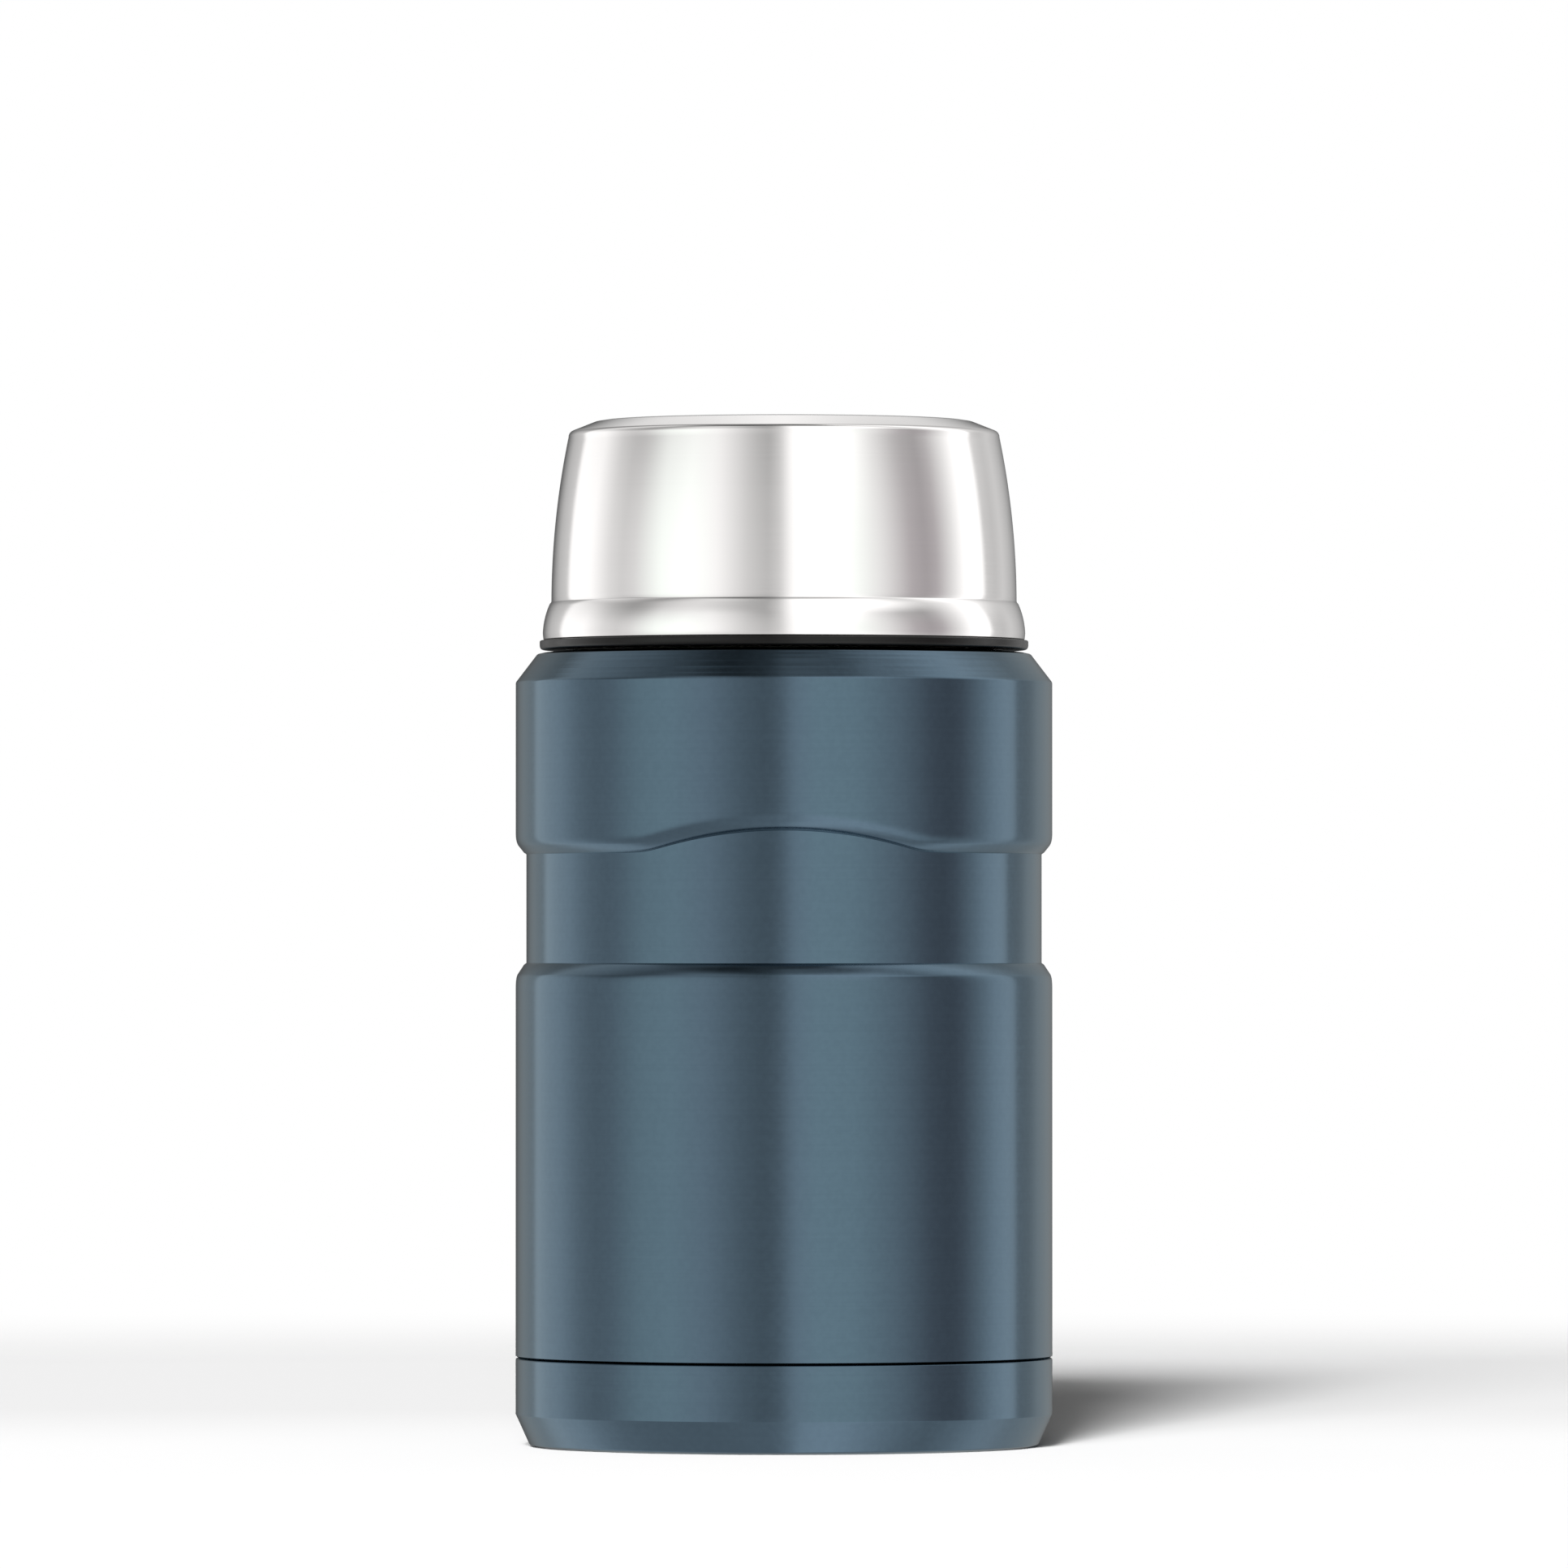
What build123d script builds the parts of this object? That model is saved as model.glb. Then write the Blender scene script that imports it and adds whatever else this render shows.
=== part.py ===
"""Wide-mouth insulated food jar: double-wall steel body, screw stopper, screw-on bowl lid.

Millimetres. +Z is up, the origin is the centre of the foot, the arch over the band faces -Y.
"""
import math
import os

from build123d import *

os.makedirs("parts", exist_ok=True)

# ---- Sheet and clearances ----
SHEET = 0.5  # steel sheet of every formed wall
RUN_GAP = 0.4  # between threads, bores and rings that move on one another
SEAT_GAP = 0.3  # between faces that meet when the jar is closed
LAP_GAP = 0.1  # between lapped sheets and filled cavities of one assembly

# ---- Outer body ----
BODY_R = 50.5
BAND_DEPTH = 2.0
BAND_R = BODY_R - BAND_DEPTH
SEAM_Z = 16.8  # middle of the groove between base cup and shell
SEAM_W = 0.5
BAND_LOW_Z = 90.8
BAND_H = 21.1
BAND_HIGH_Z = BAND_LOW_Z + BAND_H
LOWER_ROLL_H = 3.8
UPPER_ROLL_H = 5.1
SHOULDER_Z = 149.5  # flat ledge at the foot of the neck
SHOULDER_H = 5.8
SHOULDER_W = 5.4
SHOULDER_ROUND_H = 0.7
SHOULDER_ROUND_W = 1.5
CREASE_Z = SHOULDER_Z - SHOULDER_H  # body wall turns into the shoulder
SHOULDER_R = BODY_R - SHOULDER_W  # outer edge of the ledge
SHOULDER_EDGE_R = SHOULDER_R + SHOULDER_ROUND_W
SHOULDER_EDGE_Z = SHOULDER_Z - SHOULDER_ROUND_H
SHOULDER_BEND = 0.7
JOGGLE_BEND = 0.6
JOGGLE_END_Z = 9.5  # shell end inside the base cup

# ---- Arch that the band makes at the front ----
ARCH_SLOPE = 0.577  # rise over run of the plane that the arch lies in
ARCH_HALF_ANGLE = 31.4  # degrees either side of the front where it leaves the band edge
ARCH_REACH = BAND_R * math.cos(math.radians(ARCH_HALF_ANGLE))
ARCH_ROLL_MID = (1.70, 2.26)  # out from the band wall and up from the arch
ARCH_ROLL_END = (BAND_DEPTH + 0.4, 5.0)
ARCH_MARGIN = 4.6  # degrees cut past each end of the arch
ARCH_SECTIONS = 13

# ---- Base cup ----
FOOT_R = BODY_R - 4.1
FOOT_ROUND_R = BODY_R - 2.2
FOOT_ROUND_Z = 1.3
CHAMFER_Z = 6.1
FOOT_INNER_R = BODY_R - 7.1
RECESS_R = BODY_R - 9.5
RECESS_Z = 2.6
BOSS_R = 19.0
BOSS_Z = 1.6

# ---- Neck and threads ----
NECK_INSET = 10.9
NECK_R = BODY_R - NECK_INSET
NECK_H = 14.0
NECK_TOP_Z = SHOULDER_Z + NECK_H
NECK_GAP = 0.7  # between the two walls of the neck
NECK_BORE = NECK_R - NECK_GAP - 2 * SHEET
LEAD = 18.0  # rise in one turn, same for both threads
STARTS = 3
RIDGE_H = 1.1
RIDGE_ROOT = 2.2
RIDGE_CREST = 1.2
RIDGE_SINK = 0.25  # how far a ridge reaches into its wall
NECK_RIDGE_Z = SHOULDER_Z + 2.4
MOUTH_RIDGE_Z = SHOULDER_Z + 1.5
LONG_ARC = 110.0  # degrees, ridges of the jar
SHORT_ARC = 50.0  # degrees, ridges of stopper and collar
ENGAGE_ANGLE = 50.0  # how far the closed lid and stopper are turned in

# ---- Inner vessel ----
VACUUM_GAP = 3.5  # between the vessel and the back of the band
VESSEL_R = BAND_R - VACUUM_GAP
VESSEL_BOTTOM_Z = 15.5
VESSEL_CORNER_W = 6.0
VESSEL_BOTTOM_R = VESSEL_R - VESSEL_CORNER_W
VESSEL_CORNER_Z = 21.0
VESSEL_CORNER_BEND = 3.0
VESSEL_WELD_Z = 26.0
VESSEL_SHOULDER_DROP = 19.5
VESSEL_SHOULDER_Z = SHOULDER_Z - VESSEL_SHOULDER_DROP
SEAL_BORE = NECK_BORE - RIDGE_H + LAP_GAP
SEAL_BORE_DROP = 11.5
SEAL_BORE_LOW_Z = SHOULDER_Z - SEAL_BORE_DROP
BORE_STEP_DROP = 3.1
BORE_STEP_H = 1.2
SEAL_BORE_HIGH_Z = SHOULDER_Z - BORE_STEP_DROP
BORE_STEP_Z = SEAL_BORE_HIGH_Z + BORE_STEP_H
FOIL = 0.15
FOIL_LOW_Z = 30.0
FOIL_HIGH_Z = VESSEL_SHOULDER_Z - 6.0
FOIL_DISC_R = VESSEL_BOTTOM_R - 3.0

# ---- Vacuum closure ----
CLOSURE_Z = 9.0
CLOSURE_FLAT_R = BODY_R - 4.0
CLOSURE_CORNER_Z = 11.0
CLOSURE_FLANGE_Z = 14.5
PORT_R = 1.6
PORT_DISH_R = 7.0
PORT_DISH_SLOPE = 1.5
PORT_DISH_DEPTH = 1.6
PORT_SEAL_R = 4.0
PORT_SEAL_H = 1.2
PORT_STEM_R = PORT_R - 0.2
PORT_STEM_H = 1.0
GETTER_X = 22.0
GETTER_R = 4.5
GETTER_H = 2.4
CLIP_T = 0.4
CLIP_WIDTH = 5.0
CLIP_TAB = 3.5

# ---- Stopper ----
PLUG_R = NECK_BORE - RIDGE_H - RUN_GAP
PLUG_DEPTH = 15.5  # below the ledge of the jar
PLUG_NOSE_H = 3.5
PLUG_NOSE_W = 3.4
PLUG_FOOT_Z = SHOULDER_Z - PLUG_DEPTH
PLUG_FOOT_R = PLUG_R - PLUG_NOSE_W
PLUG_NOSE_Z = PLUG_FOOT_Z + PLUG_NOSE_H
PLUG_WALL = 2.0
PLUG_STEP_Z = SEAL_BORE_HIGH_Z
GASKET_LIFT = 2.8
GASKET_Z = PLUG_NOSE_Z + GASKET_LIFT
GASKET_H = 3.4
GASKET_R = NECK_BORE - RIDGE_H - SEAT_GAP
GASKET_WAIST = 0.5
GROOVE_DEPTH = 2.4
GROOVE_R = PLUG_R - GROOVE_DEPTH
FLANGE_R = NECK_R
FLANGE_T = 2.0
GRIP_FOOT_R = FLANGE_R - 0.3
GRIP_FOOT_T = 1.7
GRIP_INSET = 6.6
GRIP_R = FLANGE_R - GRIP_INSET
GRIP_WALL = 2.0
GRIP_HEADROOM = 12.0  # from the top of the grip to the top of the lid
GRIP_RIM_W = 6.0
GRIP_DISH_R = GRIP_R - GRIP_RIM_W - GRIP_WALL
GRIP_DISH_DEPTH = 2.5
GRIP_CHAMFER = 0.8
FLUTES = 24
FLUTE_R = 2.6
FLUTE_DEPTH = 1.2
FLUTE_START = 2.5  # above the foot of the grip

# ---- Lid collar and ring seal ----
COLLAR_BORE = NECK_R + RIDGE_H + RUN_GAP
COLLAR_LOW_Z = SHOULDER_Z + SEAT_GAP
COLLAR_LIP_R = SHOULDER_R + 0.9
COLLAR_LIP_T = 2.0
COLLAR_H = 9.4
COLLAR_TOP_Z = COLLAR_LOW_Z + COLLAR_H
COLLAR_CHAMFER = 0.3
RING_SEAL_W = 1.1  # beyond the bore of the collar
RING_SEAL_H = 1.4
RING_SEAL_EDGE = 0.3

# ---- Double-wall bowl that serves as the lid ----
LID_H = 43.5  # above the ledge of the jar
BOWL_TOP_Z = SHOULDER_Z + LID_H
RIM_R = COLLAR_LIP_R - 0.6
RIM_Z = COLLAR_LOW_Z + COLLAR_LIP_T + LAP_GAP
STEP_R = RIM_R - 1.6
STEP_Z = RIM_Z + 6.9
SKIRT_MID = (RIM_R - 0.48, RIM_Z + 4.2)
SKIRT_TOP = (RIM_R - 1.24, RIM_Z + 6.5)
WALL_TOP = (STEP_R - 3.18, BOWL_TOP_Z - 3.4)
WALL_MID = (STEP_R - 0.85, (STEP_Z + WALL_TOP[1]) / 2 + 0.4)
CORNER_MID = (STEP_R - 3.50, BOWL_TOP_Z - 2.45)
RING_LOW = (STEP_R - 4.20, BOWL_TOP_Z - 1.85)
RING_HIGH = (STEP_R - 8.20, BOWL_TOP_Z - 0.20)
RING_END_MID = (STEP_R - 8.70, BOWL_TOP_Z - 0.05)
PLATEAU_R = STEP_R - 9.4
INNER_RIM = (RIM_R - 0.62, RIM_Z + 0.5)
INNER_SKIRT = (RIM_R - 1.08, RIM_Z + 4.0)
INNER_SEAT_R = STEP_R - 0.7
INNER_SEAT_Z = STEP_Z + 0.1
INNER_SHELF_Z = STEP_Z + 2.4
INNER_WALL_LOW = (STEP_R - 2.38, STEP_Z + 4.2)
INNER_WALL_TOP = (STEP_R - 4.85, BOWL_TOP_Z - 6.0)
INNER_WALL_MID = (STEP_R - 3.14, (INNER_WALL_LOW[1] + INNER_WALL_TOP[1]) / 2)
INNER_CORNER_MID = (STEP_R - 5.60, BOWL_TOP_Z - 3.8)
INNER_TOP_R = STEP_R - 7.8
INNER_TOP_Z = BOWL_TOP_Z - 2.6


def ring_of(points):
    """Solid of revolution of a closed polygon of (radius, height) points."""
    return revolve(Plane.XZ * make_face(Polyline(*points, close=True)), Axis.Z)


def sheet_of(line, thickness=SHEET):
    """Turned sheet; the line is its outside, drawn with the inside of the sheet on the left."""
    section = offset(Wire(line), thickness, side=Side.LEFT, closed=True)
    return revolve(Plane.XZ * make_face(section.edges()), Axis.Z)


def joined(*curves):
    """All edges of several curves drawn end to end."""
    return [edge for curve in curves for edge in curve.edges()]


def helix_ridge(radius, side, low_z, angle, arc):
    """One thread ridge on a wall of the given radius; side is 1 outwards and -1 inwards."""
    path = Helix(pitch=LEAD, height=LEAD * arc / 360, radius=radius)
    corners = [
        (-side * RIDGE_SINK, -RIDGE_ROOT / 2),
        (side * RIDGE_H, -RIDGE_CREST / 2),
        (side * RIDGE_H, RIDGE_CREST / 2),
        (-side * RIDGE_SINK, RIDGE_ROOT / 2),
    ]
    at_start = Plane(origin=path @ 0, x_dir=(1, 0, 0), z_dir=path % 0)
    section = at_start * make_face(Polyline(*corners, close=True))
    ridge = sweep(section, path=path, is_frenet=True)
    return Pos(0, 0, low_z) * Rot(0, 0, angle) * ridge


def threaded(wall, radius, side, low_z, first_angle, arc):
    """Wall with every start of its thread fused to it."""
    for start in range(STARTS):
        wall = wall + helix_ridge(radius, side, low_z, first_angle + start * 360 / STARTS, arc)
    return wall


def mating_ridge_z(jar_ridge_z):
    """Height at which a short ridge starts, half a pitch below the ridge it bears on."""
    return jar_ridge_z - LEAD / STARTS / 2 + LEAD * ENGAGE_ANGLE / 360


def roll_arc(band_z, reach):
    """Arc that meets the band at a crease and the body wall tangentially, reach above the band."""
    radius = (BAND_DEPTH**2 + reach**2) / (2 * BAND_DEPTH)
    half = math.atan2(BAND_DEPTH, abs(reach))
    mid_r = BODY_R - radius * (1 - math.cos(half))
    mid_z = band_z + reach - math.copysign(radius * math.sin(half), reach)
    return ThreePointArc((BAND_R, band_z), (mid_r, mid_z), (BODY_R, band_z + reach))


def arch_section(angle, inset):
    """Section, at one angle from the front, of the space that the arch takes from the body."""
    turn = math.radians(angle)
    out = Vector(math.sin(turn), -math.cos(turn), 0)
    plane = Plane(origin=(0, 0, 0), x_dir=out, z_dir=Vector(out.Y, -out.X, 0))
    ahead = BAND_R * math.cos(turn) - ARCH_REACH
    z = BAND_HIGH_Z + ARCH_SLOPE * ahead + inset / 2
    r = BAND_R - inset
    roll_mid = (r + ARCH_ROLL_MID[0], z + ARCH_ROLL_MID[1])
    roll_end = (r + ARCH_ROLL_END[0], z + ARCH_ROLL_END[1])
    clear_r = BODY_R + BAND_DEPTH
    behind_r = BAND_R - BAND_DEPTH
    foot_z = BAND_HIGH_Z - BAND_H / 3
    outside = Polyline(
        roll_end,
        (clear_r, roll_end[1]),
        (clear_r, foot_z),
        (behind_r, foot_z),
        (behind_r, z),
        (r, z),
    )
    return plane * make_face(joined(ThreePointArc((r, z), roll_mid, roll_end), outside))


def arch_space(inset):
    """Space in front of the band wall, below the arch and its roll."""
    reach = ARCH_HALF_ANGLE + ARCH_MARGIN
    step = 2 * reach / (ARCH_SECTIONS - 1)
    sections = [arch_section(i * step - reach, inset) for i in range(ARCH_SECTIONS)]
    return loft(sections) - Cylinder(BAND_R - inset, 2 * BOWL_TOP_Z)


# ---- Painted outer shell: joggle in the base cup, body, grip band, shoulder and neck ----
seam_top = SEAM_Z + SEAM_W / 2
joggle_r = BODY_R - SHEET - LAP_GAP
shell_neck_top = NECK_TOP_Z - SHEET
shell_foot = Polyline(
    (joggle_r, JOGGLE_END_Z),
    (joggle_r, seam_top - JOGGLE_BEND),
    (BODY_R, seam_top),
    (BODY_R, BAND_LOW_Z - LOWER_ROLL_H),
)
shell_top = FilletPolyline(
    (BODY_R, BAND_HIGH_Z + UPPER_ROLL_H),
    (BODY_R, CREASE_Z),
    (SHOULDER_EDGE_R, SHOULDER_EDGE_Z),
    (SHOULDER_R, SHOULDER_Z),
    (NECK_R, SHOULDER_Z),
    (NECK_R, shell_neck_top),
    radius=SHOULDER_BEND,
)
shell_line = joined(
    shell_foot,
    roll_arc(BAND_LOW_Z, -LOWER_ROLL_H),
    Line((BAND_R, BAND_LOW_Z), (BAND_R, BAND_HIGH_Z)),
    roll_arc(BAND_HIGH_Z, UPPER_ROLL_H),
    shell_top,
)
shell_axis = Polyline(
    (NECK_R, shell_neck_top),
    (0, shell_neck_top),
    (0, JOGGLE_END_Z),
    (joggle_r, JOGGLE_END_Z),
)
shell_outside = revolve(Plane.XZ * make_face(shell_line + joined(shell_axis)), Axis.Z)
shell_inside = shell_outside - sheet_of(shell_line)
outer_shell = (shell_outside - arch_space(0)) - (shell_inside - arch_space(SHEET))
outer_shell = threaded(outer_shell, NECK_R, 1, NECK_RIDGE_Z, 0, LONG_ARC)

# ---- Base cup with a recessed foot ----
base_line = Polyline(
    (0, BOSS_Z),
    (BOSS_R, BOSS_Z),
    (BOSS_R + RECESS_Z - BOSS_Z, RECESS_Z),
    (RECESS_R, RECESS_Z),
    (FOOT_INNER_R, 0),
    (FOOT_R, 0),
    (FOOT_ROUND_R, FOOT_ROUND_Z),
    (BODY_R, CHAMFER_Z),
    (BODY_R, SEAM_Z - SEAM_W / 2),
)
base_cup = sheet_of(joined(base_line))

# ---- Inner vessel: wall with sealing bore, mouth thread and rolled lip ----
seal_r = SEAL_BORE + SHEET
mouth_r = NECK_BORE + SHEET
vessel_line = FilletPolyline(
    (VESSEL_R, VESSEL_WELD_Z),
    (VESSEL_R, VESSEL_SHOULDER_Z),
    (seal_r, SEAL_BORE_LOW_Z),
    (seal_r, SEAL_BORE_HIGH_Z),
    (mouth_r, BORE_STEP_Z),
    (mouth_r, shell_neck_top),
    (NECK_R, shell_neck_top),
    radius=SHEET,
)
inner_vessel = threaded(
    sheet_of(joined(vessel_line)), NECK_BORE, -1, MOUTH_RIDGE_Z, 0, LONG_ARC
)

# ---- Welded bottom of the inner vessel ----
inner_bottom_line = FilletPolyline(
    (0, VESSEL_BOTTOM_Z),
    (VESSEL_BOTTOM_R, VESSEL_BOTTOM_Z),
    (VESSEL_R, VESSEL_CORNER_Z),
    (VESSEL_R, VESSEL_WELD_Z),
    radius=VESSEL_CORNER_BEND,
)
inner_bottom = sheet_of(joined(inner_bottom_line))

# ---- Foil radiation shield round and under the inner vessel ----
foil_in_r = VESSEL_R + LAP_GAP
foil_sleeve = ring_of([
    (foil_in_r, FOIL_LOW_Z),
    (foil_in_r + FOIL, FOIL_LOW_Z),
    (foil_in_r + FOIL, FOIL_HIGH_Z),
    (foil_in_r, FOIL_HIGH_Z),
])
foil_disc = Pos(0, 0, VESSEL_BOTTOM_Z - LAP_GAP - FOIL / 2) * Cylinder(FOIL_DISC_R, FOIL)

# ---- Vacuum closure with its port, port seal, getter and clip ----
flange_r = joggle_r - SHEET - LAP_GAP
dish_z = CLOSURE_Z + PORT_DISH_DEPTH
closure_line = Polyline(
    (PORT_R, dish_z),
    (PORT_DISH_R, dish_z),
    (PORT_DISH_R + PORT_DISH_SLOPE, CLOSURE_Z),
    (CLOSURE_FLAT_R, CLOSURE_Z),
    (flange_r, CLOSURE_CORNER_Z),
    (flange_r, CLOSURE_FLANGE_Z),
)
vacuum_closure = sheet_of(joined(closure_line))
port_seal = ring_of([
    (0, dish_z - PORT_SEAL_H),
    (PORT_SEAL_R - LAP_GAP, dish_z - PORT_SEAL_H),
    (PORT_SEAL_R, dish_z - LAP_GAP),
    (PORT_STEM_R, dish_z - LAP_GAP),
    (PORT_STEM_R, dish_z + PORT_STEM_H),
    (0, dish_z + PORT_STEM_H),
])
getter_z = CLOSURE_Z + SHEET + LAP_GAP
getter_pellet = Pos(GETTER_X, 0, getter_z + GETTER_H / 2) * Cylinder(GETTER_R, GETTER_H)
clip_half = GETTER_R + LAP_GAP
clip_top_z = getter_z + GETTER_H + LAP_GAP
clip_line = Polyline(
    (-clip_half - CLIP_TAB, getter_z),
    (-clip_half, getter_z),
    (-clip_half, clip_top_z),
    (clip_half, clip_top_z),
    (clip_half, getter_z),
    (clip_half + CLIP_TAB, getter_z),
    (clip_half + CLIP_TAB, getter_z + CLIP_T),
    (clip_half + CLIP_T, getter_z + CLIP_T),
    (clip_half + CLIP_T, clip_top_z + CLIP_T),
    (-clip_half - CLIP_T, clip_top_z + CLIP_T),
    (-clip_half - CLIP_T, getter_z + CLIP_T),
    (-clip_half - CLIP_TAB, getter_z + CLIP_T),
    close=True,
)
clip_section = Plane.XZ.offset(-CLIP_WIDTH / 2) * make_face(clip_line)
getter_clip = Pos(GETTER_X, 0, 0) * extrude(clip_section, amount=CLIP_WIDTH)

# ---- Stopper: threaded plug, foam, fluted grip and gasket ----
groove_low = GASKET_Z - SEAT_GAP
groove_high = GASKET_Z + GASKET_H + SEAT_GAP
flange_z = NECK_TOP_Z + SEAT_GAP
plug_top = flange_z + FLANGE_T
plug_bore = PLUG_R - PLUG_WALL
nose_bore = GROOVE_R - PLUG_WALL
plug_floor = PLUG_FOOT_Z + PLUG_WALL
plug_slope = PLUG_R - PLUG_FOOT_R
plug_body = ring_of([
    (0, PLUG_FOOT_Z),
    (PLUG_FOOT_R, PLUG_FOOT_Z),
    (PLUG_R, PLUG_NOSE_Z),
    (PLUG_R, groove_low),
    (GROOVE_R, groove_low),
    (GROOVE_R, groove_high),
    (PLUG_R, groove_high),
    (PLUG_R, flange_z),
    (FLANGE_R - SEAT_GAP, flange_z),
    (FLANGE_R, flange_z + SEAT_GAP),
    (FLANGE_R, plug_top),
    (plug_bore, plug_top),
    (plug_bore, PLUG_STEP_Z),
    (nose_bore, PLUG_STEP_Z - plug_bore + nose_bore),
    (nose_bore, plug_floor + plug_slope),
    (nose_bore - plug_slope, plug_floor),
    (0, plug_floor),
])
stopper_plug = threaded(
    plug_body, PLUG_R, 1, mating_ridge_z(MOUTH_RIDGE_Z), ENGAGE_ANGLE, SHORT_ARC
)
stopper_foam = ring_of([
    (0, plug_floor + LAP_GAP),
    (nose_bore - plug_slope - LAP_GAP, plug_floor + LAP_GAP),
    (nose_bore - LAP_GAP, plug_floor + plug_slope + LAP_GAP),
    (nose_bore - LAP_GAP, PLUG_STEP_Z - plug_bore + nose_bore),
    (plug_bore - LAP_GAP, PLUG_STEP_Z + LAP_GAP),
    (plug_bore - LAP_GAP, plug_top - LAP_GAP),
    (0, plug_top - LAP_GAP),
])
grip_z = plug_top + LAP_GAP
grip_top = BOWL_TOP_Z - GRIP_HEADROOM
dish_floor = grip_top - GRIP_DISH_DEPTH
grip_bore = GRIP_R - GRIP_WALL
rim_in_r = GRIP_R - GRIP_RIM_W
grip_body = ring_of([
    (grip_bore, grip_z),
    (GRIP_FOOT_R, grip_z),
    (GRIP_FOOT_R, grip_z + GRIP_FOOT_T - GRIP_CHAMFER),
    (GRIP_FOOT_R - GRIP_CHAMFER, grip_z + GRIP_FOOT_T),
    (GRIP_R + GRIP_CHAMFER, grip_z + GRIP_FOOT_T),
    (GRIP_R, grip_z + GRIP_FOOT_T + GRIP_CHAMFER),
    (GRIP_R, grip_top - GRIP_CHAMFER),
    (GRIP_R - GRIP_CHAMFER, grip_top),
    (rim_in_r, grip_top),
    (GRIP_DISH_R, dish_floor),
    (0, dish_floor),
    (0, dish_floor - GRIP_WALL),
    (GRIP_DISH_R + LAP_GAP, dish_floor - GRIP_WALL),
    (rim_in_r + LAP_GAP, grip_top - GRIP_WALL),
    (grip_bore, grip_top - GRIP_WALL),
])
flute_z = grip_z + GRIP_FOOT_T + FLUTE_START
flute_h = grip_top - flute_z + FLUTE_R
flute_x = GRIP_R - FLUTE_DEPTH + FLUTE_R
flute = Pos(flute_x, 0, flute_z + flute_h / 2) * Cylinder(FLUTE_R, flute_h)
stopper_grip = grip_body - [Rot(0, 0, i * 360 / FLUTES) * flute for i in range(FLUTES)]
gasket_in_r = GROOVE_R + SEAT_GAP
gasket_top = GASKET_Z + GASKET_H
stopper_gasket = ring_of([
    (gasket_in_r, GASKET_Z),
    (GASKET_R - GASKET_WAIST, GASKET_Z),
    (GASKET_R, GASKET_Z + GASKET_WAIST),
    (GASKET_R, GASKET_Z + 2 * GASKET_WAIST),
    (GASKET_R - GASKET_WAIST, GASKET_Z + GASKET_H / 2),
    (GASKET_R, gasket_top - 2 * GASKET_WAIST),
    (GASKET_R, gasket_top - GASKET_WAIST),
    (GASKET_R - GASKET_WAIST, gasket_top),
    (gasket_in_r, gasket_top),
])

# ---- Lid: threaded collar and its ring seal ----
collar_lip_z = COLLAR_LOW_Z + COLLAR_LIP_T
inner_skirt_r = INNER_SKIRT[0] - SHEET - SEAT_GAP
inner_seat_bore = INNER_SEAT_R - SHEET
collar_body = ring_of([
    (COLLAR_BORE, COLLAR_LOW_Z),
    (COLLAR_LIP_R - COLLAR_CHAMFER, COLLAR_LOW_Z),
    (COLLAR_LIP_R, COLLAR_LOW_Z + COLLAR_CHAMFER),
    (COLLAR_LIP_R, collar_lip_z - COLLAR_CHAMFER),
    (COLLAR_LIP_R - COLLAR_CHAMFER, collar_lip_z),
    (INNER_RIM[0] - SHEET - SEAT_GAP, collar_lip_z),
    (inner_skirt_r, INNER_SKIRT[1]),
    (inner_seat_bore - SEAT_GAP, INNER_SEAT_Z),
    (inner_seat_bore - SEAT_GAP, COLLAR_TOP_Z),
    (COLLAR_BORE, COLLAR_TOP_Z),
])
lid_collar = threaded(
    collar_body, COLLAR_BORE, -1, mating_ridge_z(NECK_RIDGE_Z), ENGAGE_ANGLE, SHORT_ARC
)
seal_in_r = NECK_R + RUN_GAP
seal_out_r = COLLAR_BORE + RING_SEAL_W
seal_z = COLLAR_TOP_Z + SEAT_GAP
seal_top = seal_z + RING_SEAL_H
ring_seal = ring_of([
    (seal_in_r + RING_SEAL_EDGE, seal_z),
    (seal_out_r - RING_SEAL_EDGE, seal_z),
    (seal_out_r, seal_z + RING_SEAL_EDGE),
    (seal_out_r, seal_top - RING_SEAL_EDGE),
    (seal_out_r - RING_SEAL_EDGE, seal_top),
    (seal_in_r + RING_SEAL_EDGE, seal_top),
    (seal_in_r, seal_top - RING_SEAL_EDGE),
    (seal_in_r, seal_z + RING_SEAL_EDGE),
])

# ---- Lid: outer and inner wall of the bowl, drawn upside down as it sits on the jar ----
bowl_outer_line = joined(
    ThreePointArc((RIM_R, RIM_Z), SKIRT_MID, SKIRT_TOP),
    Line(SKIRT_TOP, (STEP_R, STEP_Z)),
    ThreePointArc((STEP_R, STEP_Z), WALL_MID, WALL_TOP),
    ThreePointArc(WALL_TOP, CORNER_MID, RING_LOW),
    Line(RING_LOW, RING_HIGH),
    ThreePointArc(RING_HIGH, RING_END_MID, (PLATEAU_R, BOWL_TOP_Z)),
    Line((PLATEAU_R, BOWL_TOP_Z), (0, BOWL_TOP_Z)),
)
bowl_outer = sheet_of(bowl_outer_line)
bowl_inner_line = joined(
    Polyline(
        INNER_RIM,
        INNER_SKIRT,
        (INNER_SEAT_R, INNER_SEAT_Z),
        (INNER_SEAT_R, INNER_SHELF_Z),
        INNER_WALL_LOW,
    ),
    ThreePointArc(INNER_WALL_LOW, INNER_WALL_MID, INNER_WALL_TOP),
    ThreePointArc(INNER_WALL_TOP, INNER_CORNER_MID, (INNER_TOP_R, INNER_TOP_Z)),
    Line((INNER_TOP_R, INNER_TOP_Z), (0, INNER_TOP_Z)),
)
bowl_inner = sheet_of(bowl_inner_line)

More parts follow.
